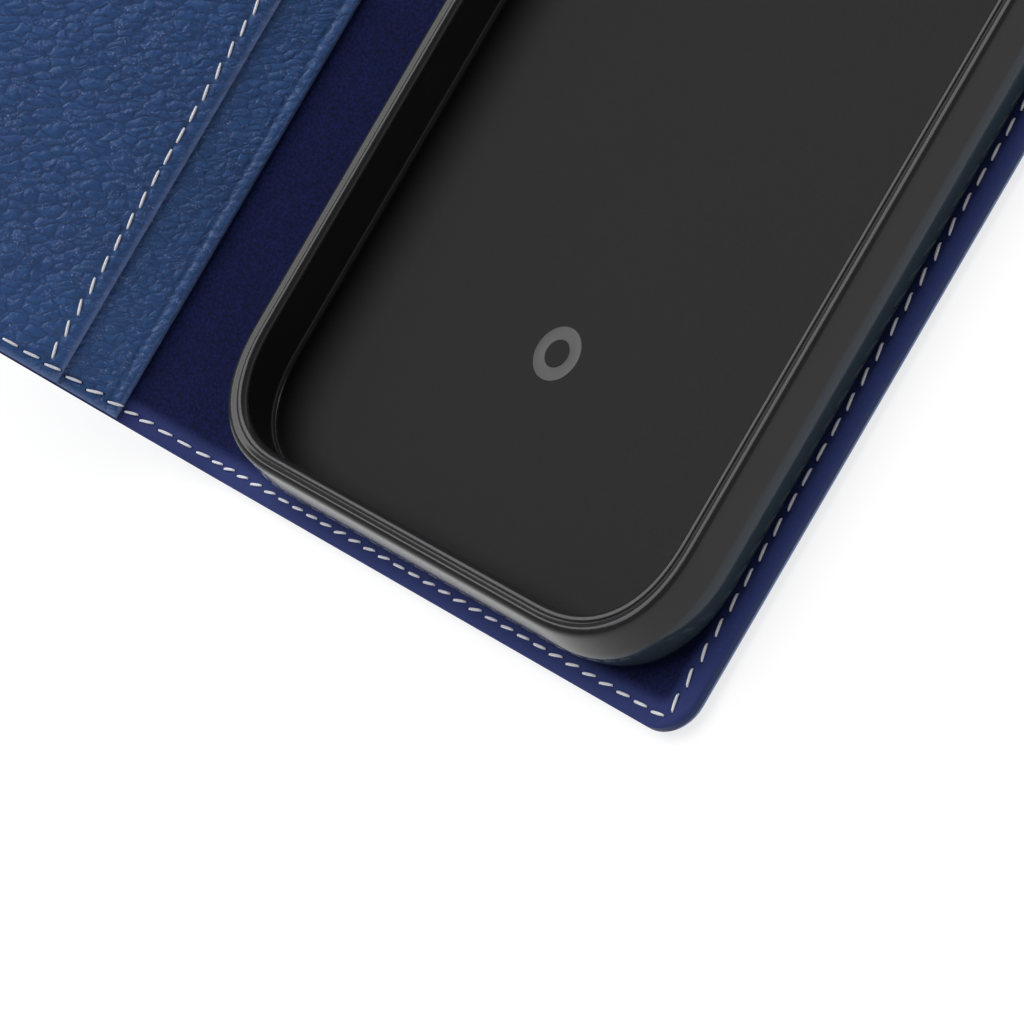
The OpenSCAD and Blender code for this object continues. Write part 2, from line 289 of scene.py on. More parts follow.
class WalletStage(bpy.types.PropertyGroup):
    azimuth: FloatProperty(
        name="Azimuth", description="Camera's direction round the wallet", subtype="ANGLE",
        default=math.radians(88.41)
    )
    elevation: FloatProperty(
        name="Elevation", description="Camera's height over the horizon", subtype="ANGLE",
        default=math.radians(47.64)
    )
    roll: FloatProperty(
        name="Roll", description="Camera's turn about its own axis", subtype="ANGLE",
        default=math.radians(-58.59)
    )
    distance: length("Distance", "Camera to the aimed point", 393.4, 100.0, 2000.0)
    aim_in: length("Aim inset", "Aimed point, from the back cover's free edge", 31.04, 0.0, 80.0)
    aim_up: length("Aim height", "Aimed point, from the back cover's bottom edge", 4.91, 0.0, 160.0)
    lens: FloatProperty(
        name="Lens", description="Focal length", subtype="DISTANCE_CAMERA", default=119.8, min=20.0
    )
    shift: FloatProperty(
        name="Shift", description="Vertical shift of the view", default=0.0862, min=-0.2, max=0.2
    )
    ceiling: FloatProperty(
        name="Ceiling", description="Strength of the light from above", default=0.16, min=0.0
    )
    key: FloatProperty(name="Key", description="Power of the large overhead softbox", default=15.0, min=0.0)
    side: FloatProperty(name="Side", description="Power of the low softbox", default=0.05, min=0.0)


# ---- materials ----

# settings that many nodes share
SOFT_STEP = {"interpolation_type": "SMOOTHSTEP"}
BLEND = {"data_type": "RGBA"}
MULTIPLY = {"operation": "MULTIPLY"}


def add_node(tree, kind, settings=None, sockets=None):
    """Adds a node, sets its settings, and links or fills its sockets."""
    node = tree.nodes.new(kind)
    for name, value in (settings or {}).items():
        setattr(node, name, value)
    for name, value in (sockets or {}).items():
        if isinstance(value, bpy.types.NodeSocket):
            tree.links.new(value, node.inputs[name])
        else:
            node.inputs[name].default_value = value
    return node


def opaque(rgb):
    """A colour property as the four numbers a socket takes."""
    return (rgb[0], rgb[1], rgb[2], 1.0)


def start_material(name):
    """A new material and its empty node tree."""
    material = bpy.data.materials.new(name)
    material.use_nodes = True
    material.node_tree.nodes.clear()
    return material, material.node_tree


def flat_place(tree):
    """The flat place in millimetres that each mesh keeps as an attribute."""
    return add_node(tree, "ShaderNodeAttribute", {"attribute_name": "flat_mm"}).outputs["Vector"]


def object_mm(tree):
    """The object's own coordinates in millimetres."""
    place = add_node(tree, "ShaderNodeTexCoord").outputs["Object"]
    scale = (1 / MM,) * 3
    return add_node(tree, "ShaderNodeMapping", sockets={"Vector": place, "Scale": scale}).outputs["Vector"]


def finish_material(tree, sockets):
    """Adds the Principled shader and the output."""
    shader = add_node(tree, "ShaderNodeBsdfPrincipled", sockets=sockets)
    add_node(tree, "ShaderNodeOutputMaterial", sockets={"Surface": shader.outputs["BSDF"]})


def full_grain_leather(name, pebble_mm, smooth=0.0):
    """Aniline-dyed full-grain calf, drum-tumbled to raise a soft pebble and then waxed."""
    colours = bpy.context.scene.wallet_colours
    material, tree = start_material(name)
    place = flat_place(tree)
    edge = add_node(tree, "ShaderNodeAttribute", {"attribute_name": "edge_mm"}).outputs["Fac"]
    # tumbling draws the pebbles out across the backbone, so they are over twice as long as they are wide
    warp = add_node(tree, "ShaderNodeTexNoise", sockets={"Vector": place, "Scale": 0.5, "Detail": 3.0})
    push = add_node(
        tree, "ShaderNodeVectorMath", {"operation": "MULTIPLY_ADD"},
        {0: warp.outputs["Color"], 1: (1.6, 1.6, 1.6), 2: place}
    )
    drawn = add_node(
        tree, "ShaderNodeMapping", {"vector_type": "TEXTURE"},
        {
            "Vector": push.outputs[0], "Rotation": (0.0, 0.0, math.radians(-30.0)),
            "Scale": (2.3 * pebble_mm, pebble_mm, pebble_mm)
        }
    ).outputs["Vector"]
    to_crease = add_node(
        tree, "ShaderNodeTexVoronoi", {"feature": "DISTANCE_TO_EDGE"}, {"Vector": drawn, "Scale": 1.0}
    ).outputs["Distance"]
    pebbles = add_node(
        tree, "ShaderNodeMapRange", SOFT_STEP, {"Value": to_crease, "From Min": 0.0, "From Max": 0.2}
    ).outputs["Result"]
    domes = add_node(
        tree, "ShaderNodeTexVoronoi", {"feature": "SMOOTH_F1"},
        {"Vector": drawn, "Scale": 1.0, "Smoothness": 0.4}
    ).outputs["Distance"]
    wrinkles = add_node(
        tree, "ShaderNodeTexNoise",
        sockets={"Vector": drawn, "Scale": 1.2, "Detail": 3.0, "Roughness": 0.5}
    ).outputs["Fac"]
    # follicle pores are about 0.1 mm across; drawn at 0.25 mm so that they show
    pores = add_node(
        tree, "ShaderNodeTexNoise",
        sockets={"Vector": place, "Scale": 4.0, "Detail": 4.0, "Roughness": 0.7}
    ).outputs["Fac"]
    cloud = add_node(
        tree, "ShaderNodeTexNoise", sockets={"Vector": place, "Scale": 0.07, "Detail": 3.0}
    ).outputs["Fac"]
    # painted shade: the mask below marks the grain's creases, and the mix below paints them toward the darker
    # colour
    low = add_node(
        tree, "ShaderNodeMapRange", SOFT_STEP,
        {"Value": to_crease, "From Min": 0.12, "From Max": 0.0, "To Max": 0.5}
    ).outputs["Result"]
    # painted highlight: the wrinkle crests, spotted by the pore noise, are mixed toward the lighter colour
    crest_highlight_mask = add_node(
        tree, "ShaderNodeMapRange", SOFT_STEP, {"Value": wrinkles, "From Min": 0.48, "From Max": 0.66}
    ).outputs["Result"]
    speck = add_node(
        tree, "ShaderNodeMapRange", SOFT_STEP, {"Value": pores, "From Min": 0.5, "From Max": 0.7}
    ).outputs["Result"]
    crest_highlight = add_node(tree, "ShaderNodeMath", MULTIPLY, {0: crest_highlight_mask, 1: speck}).outputs[0]
    crest_highlight_weak = add_node(tree, "ShaderNodeMath", MULTIPLY, {0: crest_highlight, 1: 0.75}).outputs[0]
    dyed = add_node(
        tree, "ShaderNodeMix", BLEND, {0: low, 6: opaque(colours.leather), 7: opaque(colours.leather_low)}
    ).outputs[2]
    clouded = add_node(
        tree, "ShaderNodeMix", {"data_type": "RGBA", "blend_type": "SOFT_LIGHT"},
        {0: 0.25, 6: dyed, 7: cloud}
    )
    tone = add_node(
        tree, "ShaderNodeMix", BLEND,
        {0: crest_highlight_weak, 6: clouded.outputs[2], 7: opaque(colours.leather_highlight)}
    ).outputs[2]
    # painted highlight: the last millimetre, where the edge rounds over, is mixed toward the highlight colour, so
    # it reads a little lighter
    edge_highlight_mask = add_node(
        tree, "ShaderNodeMapRange", SOFT_STEP,
        {"Value": edge, "From Min": 0.9, "From Max": 0.1, "To Max": 0.3}
    ).outputs["Result"]
    edge_highlighted = add_node(
        tree, "ShaderNodeMix", BLEND, {0: edge_highlight_mask, 6: tone, 7: opaque(colours.leather_highlight)}
    ).outputs[2]
    shine = add_node(
        tree, "ShaderNodeMapRange",
        sockets={"Value": pores, "From Min": 0.3, "From Max": 0.7, "To Min": 0.42, "To Max": 0.62}
    ).outputs["Result"]
    # seams press the grain flatter
    relief = add_node(
        tree, "ShaderNodeMapRange", SOFT_STEP,
        {"Value": edge, "From Min": 0.4, "From Max": 4.0, "To Min": 0.45, "To Max": 1.0 - 0.5 * smooth}
    ).outputs["Result"]
    fine = add_node(
        tree, "ShaderNodeBump", sockets={"Strength": 0.35, "Distance": 0.00006, "Height": pores}
    ).outputs["Normal"]
    creased = add_node(
        tree, "ShaderNodeBump",
        sockets={"Strength": relief, "Distance": 0.0002, "Height": wrinkles, "Normal": fine}
    ).outputs["Normal"]
    pebbled = add_node(
        tree, "ShaderNodeBump",
        sockets={"Strength": relief, "Distance": 0.00006, "Height": pebbles, "Normal": creased}
    ).outputs["Normal"]
    domed = add_node(
        tree, "ShaderNodeBump", {"invert": True},
        {"Strength": relief, "Distance": 0.0003, "Height": domes, "Normal": pebbled}
    ).outputs["Normal"]
    finish_material(
        tree,
        {
            "Base Color": edge_highlighted, "Roughness": shine, "IOR": 1.5, "Specular IOR Level": 0.45,
            "Coat Weight": 0.08, "Coat Roughness": 0.35, "Normal": domed
        }
    )
    return material


def brushed_microsuede(name):
    """Dyed polyester microsuede, brushed. Its nap scatters light: a deep colour with a soft edge glow."""
    colours = bpy.context.scene.wallet_colours
    material, tree = start_material(name)
    place = flat_place(tree)
    edge = add_node(tree, "ShaderNodeAttribute", {"attribute_name": "edge_mm"}).outputs["Fac"]
    brushing = add_node(
        tree, "ShaderNodeTexNoise",
        sockets={"Vector": place, "Scale": 0.22, "Detail": 4.0, "Roughness": 0.55}
    ).outputs["Fac"]
    # fibres are about 0.01 mm thick; drawn as 0.4 mm tufts so that they show
    tufts = add_node(
        tree, "ShaderNodeTexNoise",
        sockets={"Vector": place, "Scale": 2.4, "Detail": 4.0, "Roughness": 0.8}
    ).outputs["Fac"]
    lying = add_node(
        tree, "ShaderNodeMapRange", sockets={"Value": brushing, "From Min": 0.35, "From Max": 0.65}
    ).outputs["Result"]
    spots = add_node(
        tree, "ShaderNodeMapRange",
        sockets={"Value": tufts, "From Min": 0.4, "From Max": 0.6, "To Max": 0.9}
    ).outputs["Result"]
    shade = add_node(
        tree, "ShaderNodeMath", {"operation": "MULTIPLY_ADD"}, {0: lying, 1: 0.15, 2: spots}
    ).outputs[0]
    nap = add_node(
        tree, "ShaderNodeMix", BLEND, {0: shade, 6: opaque(colours.suede), 7: opaque(colours.suede_low)}
    ).outputs[2]
    # painted sheen: within about 4 mm of the outline the suede is mixed toward a lighter colour; the lower
    # roughness there is the pressed border's own
    pressed = add_node(
        tree, "ShaderNodeMapRange", SOFT_STEP, {"Value": edge, "From Min": 4.2, "From Max": 2.2}
    ).outputs["Result"]
    border_sheen_share = add_node(tree, "ShaderNodeMath", MULTIPLY, {0: pressed, 1: 0.8}).outputs[0]
    sheen_toned = add_node(
        tree, "ShaderNodeMix", BLEND, {0: border_sheen_share, 6: nap, 7: opaque(colours.suede_border_sheen)}
    ).outputs[2]
    relief = add_node(
        tree, "ShaderNodeBump", sockets={"Strength": 0.8, "Distance": 0.00012, "Height": tufts}
    ).outputs["Normal"]
    rough = add_node(
        tree, "ShaderNodeMapRange", sockets={"Value": pressed, "To Min": 0.92, "To Max": 0.75}
    ).outputs["Result"]
    finish_material(
        tree,
        {
            "Base Color": sheen_toned, "Roughness": rough, "IOR": 1.5, "Specular IOR Level": 0.2,
            "Sheen Weight": 0.06, "Sheen Roughness": 0.5, "Sheen Tint": opaque(linear("#5a62c8")),
            "Normal": relief
        }
    )
    return material


def burnished_edge_paint(name):
    """Acrylic edge paint in two coats over cut leather: a dark, half-gloss bead with small lumps."""
    colours = bpy.context.scene.wallet_colours
    material, tree = start_material(name)
    place = flat_place(tree)
    lumps = add_node(
        tree, "ShaderNodeTexNoise", sockets={"Vector": place, "Scale": 1.6, "Detail": 4.0}
    ).outputs["Fac"]
    tone = add_node(
        tree, "ShaderNodeMix", BLEND,
        {0: lumps, 6: opaque(colours.edge_paint), 7: opaque(colours.leather_low)}
    ).outputs[2]
    shine = add_node(tree, "ShaderNodeMapRange", sockets={"Value": lumps, "To Min": 0.5, "To Max": 0.7})
    relief = add_node(
        tree, "ShaderNodeBump", sockets={"Strength": 0.4, "Distance": 0.0001, "Height": lumps}
    )
    finish_material(
        tree,
        {
            "Base Color": tone, "Roughness": shine.outputs["Result"], "IOR": 1.49,
            "Specular IOR Level": 0.25, "Normal": relief.outputs["Normal"]
        }
    )
    return material


def bonded_thread(name):
    """Three-ply bonded polyester. The bonding resin gives a soft sheen, and the grooves between the plies are
    painted darker as shade.
    """
    colours = bpy.context.scene.wallet_colours
    material, tree = start_material(name)
    place = flat_place(tree)
    # filaments are about 0.02 mm thick; drawn at 0.12 mm so that they show
    fibres = add_node(
        tree, "ShaderNodeTexNoise",
        sockets={"Vector": place, "Scale": 8.0, "Detail": 3.0, "Roughness": 0.6}
    ).outputs["Fac"]
    ply = add_node(tree, "ShaderNodeAttribute", {"attribute_name": "ply"}).outputs["Fac"]
    # painted shade: where ply is low, in the grooves between the plies, the thread is mixed toward the dark
    # grey-blue; the fibre noise adds random tone
    dark = add_node(tree, "ShaderNodeMapRange", sockets={"Value": ply, "To Min": 0.45, "To Max": 1.0})
    bright = add_node(
        tree, "ShaderNodeMapRange",
        sockets={"Value": fibres, "From Min": 0.3, "From Max": 0.7, "To Min": 0.85}
    )
    level = add_node(
        tree, "ShaderNodeMath", MULTIPLY, {0: dark.outputs["Result"], 1: bright.outputs["Result"]}
    ).outputs[0]
    tone = add_node(
        tree, "ShaderNodeMix", BLEND, {0: level, 6: opaque(linear("#8d90a8")), 7: opaque(colours.thread)}
    ).outputs[2]
    rough = add_node(tree, "ShaderNodeMapRange", sockets={"Value": fibres, "To Min": 0.5, "To Max": 0.75})
    relief = add_node(
        tree, "ShaderNodeBump", sockets={"Strength": 0.3, "Distance": 0.00003, "Height": fibres}
    )
    finish_material(
        tree,
        {
            "Base Color": tone, "Roughness": rough.outputs["Result"], "IOR": 1.57, "Sheen Weight": 0.15,
            "Normal": relief.outputs["Normal"]
        }
    )
    return material


def painted_hole_shade(name):
    """Painted shade inside a needle hole: a dark colour that stands in for its shadow."""
    colours = bpy.context.scene.wallet_colours
    material, tree = start_material(name)
    place = flat_place(tree)
    hole_shade_noise = add_node(
        tree, "ShaderNodeTexNoise", sockets={"Vector": place, "Scale": 5.0, "Detail": 2.0}
    ).outputs["Fac"]
    tone = add_node(
        tree, "ShaderNodeMix", BLEND,
        {0: hole_shade_noise, 6: opaque(colours.needle_hole_shade), 7: opaque(colours.leather_low)}
    ).outputs[2]
    rough = add_node(tree, "ShaderNodeMapRange", sockets={"Value": hole_shade_noise, "To Min": 0.8, "To Max": 1.0})
    finish_material(
        tree, {"Base Color": tone, "Roughness": rough.outputs["Result"], "Specular IOR Level": 0.1}
    )
    return material


def polished_polycarbonate(name):
    """Smoke-black polycarbonate from a polished mould: near-mirror gloss, faint ripples and hairlines."""
    colours = bpy.context.scene.wallet_colours
    material, tree = start_material(name)
    place = object_mm(tree)
    ripple = add_node(
        tree, "ShaderNodeTexNoise", sockets={"Vector": place, "Scale": 0.12, "Detail": 2.0}
    ).outputs["Fac"]
    drawn = add_node(
        tree, "ShaderNodeMapping", sockets={"Vector": place, "Scale": (3.0, 0.15, 3.0)}
    ).outputs["Vector"]
    # wiping hairlines are about 0.02 mm wide; drawn at 0.3 mm and kept faint
    hairs = add_node(
        tree, "ShaderNodeTexNoise", sockets={"Vector": drawn, "Scale": 1.0, "Detail": 4.0}
    ).outputs["Fac"]
    tone = add_node(
        tree, "ShaderNodeMix", BLEND,
        {0: ripple, 6: opaque(colours.tray), 7: opaque([0.8 * c for c in colours.tray])}
    ).outputs[2]
    # painted reflection: up to the height of its widest line, the outer wall is mixed toward a blue-grey that
    # stands in for the blue lining reflected in it
    height = add_node(tree, "ShaderNodeSeparateXYZ", sockets={0: place}).outputs[2]
    low = add_node(
        tree, "ShaderNodeMapRange", SOFT_STEP,
        {"Value": height, "From Min": TRAY_FOOT + 5.2, "From Max": TRAY_FOOT + 4.7}
    ).outputs["Result"]
    outside = add_node(tree, "ShaderNodeAttribute", {"attribute_name": "outside"}).outputs["Fac"]
    foot_reflection_share = add_node(tree, "ShaderNodeMath", MULTIPLY, {0: low, 1: outside}).outputs[0]
    foot_reflection_colour = add_node(
        tree, "ShaderNodeMix", BLEND, {0: foot_reflection_share, 6: tone, 7: opaque(colours.tray_foot_reflection)}
    ).outputs[2]
    shine = add_node(
        tree, "ShaderNodeMapRange",
        sockets={"Value": hairs, "From Min": 0.3, "From Max": 0.7, "To Min": 0.12, "To Max": 0.2}
    ).outputs["Result"]
    relief = add_node(
        tree, "ShaderNodeBump", sockets={"Strength": 0.06, "Distance": 0.0002, "Height": ripple}
    )
    finish_material(
        tree,
        {
            "Base Color": foot_reflection_colour, "Roughness": shine, "IOR": 1.585, "Specular IOR Level": 0.24,
            "Normal": relief.outputs["Normal"]
        }
    )
    return material


def spark_textured_polycarbonate(name):
    """The same plastic from a spark-eroded mould face: an even, matt, very fine grain."""
    colours = bpy.context.scene.wallet_colours
    material, tree = start_material(name)
    place = object_mm(tree)
    # the mould's grain is about 0.05 mm; drawn at 0.2 mm so that it shows
    grain = add_node(
        tree, "ShaderNodeTexNoise", sockets={"Vector": place, "Scale": 5.0, "Detail": 3.0}
    ).outputs["Fac"]
    cloud = add_node(
        tree, "ShaderNodeTexNoise", sockets={"Vector": place, "Scale": 0.05, "Detail": 2.0}
    ).outputs["Fac"]
    tone = add_node(
        tree, "ShaderNodeMix", BLEND,
        {
            0: cloud, 6: opaque([0.9 * c for c in colours.tray_floor]),
            7: opaque([1.1 * c for c in colours.tray_floor])
        }
    ).outputs[2]
    rough = add_node(tree, "ShaderNodeMapRange", sockets={"Value": grain, "To Min": 0.5, "To Max": 0.66})
    relief = add_node(
        tree, "ShaderNodeBump", sockets={"Strength": 0.12, "Distance": 0.00004, "Height": grain}
    )
    finish_material(
        tree,
        {
            "Base Color": tone, "Roughness": rough.outputs["Result"], "IOR": 1.585,
            "Specular IOR Level": 0.12, "Normal": relief.outputs["Normal"]
        }
    )
    return material


def pad_print(name):
    """Pad-printed ink, a shade lighter than the plastic and a little glossier, with a fine ink speckle."""
    colours = bpy.context.scene.wallet_colours
    material, tree = start_material(name)
    place = object_mm(tree)
    speckle = add_node(
        tree, "ShaderNodeTexNoise", sockets={"Vector": place, "Scale": 3.0, "Detail": 3.0}
    ).outputs["Fac"]
    tone = add_node(
        tree, "ShaderNodeMix", BLEND,
        {0: speckle, 6: opaque(colours.mark), 7: opaque([0.8 * c for c in colours.mark])}
    ).outputs[2]
    rough = add_node(tree, "ShaderNodeMapRange", sockets={"Value": speckle, "To Min": 0.35, "To Max": 0.5})
    finish_material(tree, {"Base Color": tone, "Roughness": rough.outputs["Result"], "IOR": 1.5})
    return material


def pressed_board(name, tone_pair, scale):
    """Pressed fibre sheet: dull, with flecks of longer fibre."""
    material, tree = start_material(name)
    place = object_mm(tree)
    drawn = add_node(
        tree, "ShaderNodeMapping", sockets={"Vector": place, "Scale": (1.0, 0.25, 1.0)}
    ).outputs["Vector"]
    fleck = add_node(
        tree, "ShaderNodeTexNoise",
        sockets={"Vector": drawn, "Scale": scale, "Detail": 5.0, "Roughness": 0.7}
    ).outputs["Fac"]
    tone = add_node(
        tree, "ShaderNodeMix", BLEND, {0: fleck, 6: opaque(tone_pair[0]), 7: opaque(tone_pair[1])}
    ).outputs[2]
    rough = add_node(tree, "ShaderNodeMapRange", sockets={"Value": fleck, "To Min": 0.8, "To Max": 1.0})
    relief = add_node(
        tree, "ShaderNodeBump", sockets={"Strength": 0.4, "Distance": 0.0001, "Height": fleck}
    )
    finish_material(
        tree,
        {"Base Color": tone, "Roughness": rough.outputs["Result"], "Normal": relief.outputs["Normal"]}
    )
    return material


def plain_weave_liner(name):
    """Plain-weave polyester lining, 0.4 mm between threads: a small even check with a dull shine."""
    colours = bpy.context.scene.wallet_colours
    material, tree = start_material(name)
    place = object_mm(tree)
    turn = 2 * math.pi / 0.4
    parts = add_node(tree, "ShaderNodeSeparateXYZ", sockets={0: place})
    warp = add_node(tree, "ShaderNodeMath", MULTIPLY, {0: parts.outputs[1], 1: turn}).outputs[0]
    weft = add_node(tree, "ShaderNodeMath", MULTIPLY, {0: parts.outputs[2], 1: turn}).outputs[0]
    warp_wave = add_node(tree, "ShaderNodeMath", {"operation": "SINE"}, {0: warp}).outputs[0]
    weft_wave = add_node(tree, "ShaderNodeMath", {"operation": "SINE"}, {0: weft}).outputs[0]
    weave = add_node(tree, "ShaderNodeMath", MULTIPLY, {0: warp_wave, 1: weft_wave}).outputs[0]
    level = add_node(
        tree, "ShaderNodeMapRange", sockets={"Value": weave, "From Min": -1.0}
    ).outputs["Result"]
    tone = add_node(
        tree, "ShaderNodeMix", BLEND,
        {0: level, 6: opaque([0.6 * c for c in colours.liner]), 7: opaque(colours.liner)}
    ).outputs[2]
    relief = add_node(
        tree, "ShaderNodeBump", sockets={"Strength": 0.5, "Distance": 0.00008, "Height": level}
    )
    rough = add_node(tree, "ShaderNodeMapRange", sockets={"Value": level, "To Min": 0.55, "To Max": 0.8})
    finish_material(
        tree,
        {"Base Color": tone, "Roughness": rough.outputs["Result"], "Normal": relief.outputs["Normal"]}
    )
    return material


# ---- meshes ----

MATERIALS = {}


def material_for(key):
    """The shared material of a finish, made once."""
    if key not in MATERIALS:
        sizes = bpy.context.scene.wallet_sizes
        colours = bpy.context.scene.wallet_colours
        pebble = sizes.pebble / MM
        makers = {
            "leather": lambda: full_grain_leather("full_grain_calf", pebble),
            "leather_thin": lambda: full_grain_leather("skived_full_grain_calf", 0.8 * pebble, 0.45),
            "suede": lambda: brushed_microsuede("brushed_microsuede"),
            "edge": lambda: burnished_edge_paint("burnished_edge_paint"),
            "thread": lambda: bonded_thread("bonded_polyester_thread"),
            "hole": lambda: painted_hole_shade("needle_hole_painted_shade"),
            "tray": lambda: polished_polycarbonate("polished_polycarbonate"),
            "tray_floor": lambda: spark_textured_polycarbonate("spark_textured_polycarbonate"),
            "mark": lambda: pad_print("pad_printed_ink"),
            "board": lambda: pressed_board(
                "grey_binding_board", ([0.75 * c for c in colours.board], list(colours.board)), 0.9
            ),
            "interliner": lambda: pressed_board(
                "needled_interliner", (linear("#c9c6bd"), linear("#e4e1da")), 2.5
            ),
            "adhesive": lambda: pressed_board(
                "tissue_tape", ([0.9 * c for c in colours.adhesive], list(colours.adhesive)), 0.6
            ),
            "liner": lambda: plain_weave_liner("plain_weave_liner")
        }
        MATERIALS[key] = makers[key]()
    return MATERIALS[key]


def new_mesh(name, points_mm, faces, keys, face_material=None):
    """An object in metres from points in millimetres, with its materials."""
    mesh = bpy.data.meshes.new(name)
    mesh.from_pydata((np.asarray(points_mm) * MM).tolist(), [], faces)
    for key in keys:
        mesh.materials.append(material_for(key))
    if face_material is not None:
        mesh.polygons.foreach_set("material_index", np.asarray(face_material, np.int32))
    obj = bpy.data.objects.new(name, mesh)
    bpy.context.scene.collection.objects.link(obj)
    return obj


def face_outward(obj):
    """Turns a closed mesh's faces outward."""
    solid = bmesh.new()
    solid.from_mesh(obj.data)
    bmesh.ops.recalc_face_normals(solid, faces=solid.faces)
    solid.to_mesh(obj.data)
    solid.free()


def smooth(obj, degrees=38.0):
    """Shades smooth, with edges sharper than the angle kept crisp."""
    obj.data.polygons.foreach_set("use_smooth", [True] * len(obj.data.polygons))
    obj.data.set_sharp_from_angle(angle=math.radians(degrees))


def cut(obj, cutters):
    """Cuts closed meshes out of obj; the new walls take the cutters' material."""
    for cutter in cutters:
        step = obj.modifiers.new("opening", "BOOLEAN")
        step.operation = "DIFFERENCE"
        step.solver = "EXACT"
        step.material_mode = "TRANSFER"
        step.object = cutter
    depsgraph = bpy.context.evaluated_depsgraph_get()
    made = bpy.data.meshes.new_from_object(obj.evaluated_get(depsgraph))
    obj.modifiers.clear()
    old = obj.data
    obj.data = made
    bpy.data.meshes.remove(old)
    for cutter in cutters:
        bpy.data.objects.remove(cutter)


def points_of(obj):
    """An object's vertices in millimetres."""
    found = np.zeros(len(obj.data.vertices) * 3, np.float32)
    obj.data.vertices.foreach_get("co", found)
    return found.reshape(-1, 3).astype(float) / MM


def keep(obj, name, values):
    """Keeps one number or vector for each vertex, for the materials."""
    values = np.asarray(values, np.float32)
    kind = "FLOAT" if values.ndim == 1 else "FLOAT_VECTOR"
    attribute = obj.data.attributes.new(name, kind, "POINT")
    attribute.data.foreach_set("value" if values.ndim == 1 else "vector", values.ravel())


def edge_distance(s, y, free, half_l, corner, fold=None):
    """Distance in from a cover's outline, whose two corners at the free edge are round."""
    from_free = np.abs(free - s)
    from_end = half_l - np.abs(y)
    a = corner - from_free
    b = corner - from_end
    distance = np.where((a > 0) & (b > 0), corner - np.hypot(a, b), np.minimum(from_free, from_end))
    if fold is not None:
        distance = np.minimum(distance, np.abs(s - fold))
    return np.maximum(distance, 0.0)


def round_corners(s, y, free, half_l, corner, side):
    """Moves a square grid's points near the free corners onto arcs."""
    a = corner - side * (free - s)
    b = corner - (half_l - np.abs(y))
    near = (a > 0) & (b > 0)
    big = np.where(near, np.maximum(a, b), 1.0)
    small = np.where(near, np.minimum(a, b), 0.0)
    angle = math.pi / 4 * small / big
    far, close = big * np.cos(angle), big * np.sin(angle)
    a2 = np.where(a >= b, far, close)
    b2 = np.where(a >= b, close, far)
    s2 = np.where(near, free - side * (corner - a2), s)
    y2 = np.where(near, np.sign(y) * (half_l - corner + b2), y)
    return s2, y2


GRID_STEP = 2.5
LINE_GAP = 0.03
# lines are this close together, this far to each side of a fold
FOLD_STEP = 0.35
FOLD_REACH = 2.8
EDGE_STEPS = [
    0.0, 0.04, 0.12, 0.28, 0.5, 0.8, 1.15, 1.5, 1.68, 1.85, 2.02, 2.2, 2.45, 2.7, 3.0, 3.38, 3.42, 4.2,
    5.0
]


def spaced(start, stop, step):
    """Even steps from start to stop, both kept."""
    count = max(1, int(round(abs(stop - start) / step)))
    return list(np.linspace(start, stop, count + 1))


def thinned(ordered):
    """Grid lines without those that lie too close to the line before."""
    kept = [ordered[0]]
    for x in ordered[1:]:
        if x - kept[-1] > LINE_GAP:
            kept.append(x)
    return np.array(kept)


def along_lines(fold_end, free, extra=()):
    """Grid lines across a cover, closer together at the folds, the free edge and the extra places."""
    side = 1 if free > fold_end else -1
    low, high = sorted((fold_end, free - side * EDGE_STEPS[-1]))
    lines = set(np.round(spaced(low, high, GRID_STEP), 4))
    for centre in (0.0, SPINE_W):
        near = spaced(centre - FOLD_REACH, centre + FOLD_REACH, FOLD_STEP)
        lines |= {x for x in np.round(near, 4) if low < x < high}
    for place in extra:
        lines |= {round(place + o, 4) for o in (-0.9, -0.5, -0.25, 0.0, 0.25, 0.5, 0.9)}
    lines |= {round(free - side * o, 4) for o in EDGE_STEPS}
    return thinned(sorted(lines))


def across_lines(low, high, extra=(), low_edge=True, high_edge=True):
    """Grid lines along the fold's direction between two ends."""
    lines = set(np.round(spaced(low, high, GRID_STEP), 4))
    if low_edge:
        lines = {x for x in lines if x > low + EDGE_STEPS[-1]} | {round(low + o, 4) for o in EDGE_STEPS}
    if high_edge:
        lines = {x for x in lines if x < high - EDGE_STEPS[-1]} | {round(high - o, 4) for o in EDGE_STEPS}
    for place in extra:
        lines |= {round(place + o, 4) for o in (-0.6, -0.3, -0.12, 0.0, 0.12, 0.3, 0.6)}
    return thinned(sorted(x for x in lines if low - 1e-6 <= x <= high + 1e-6))


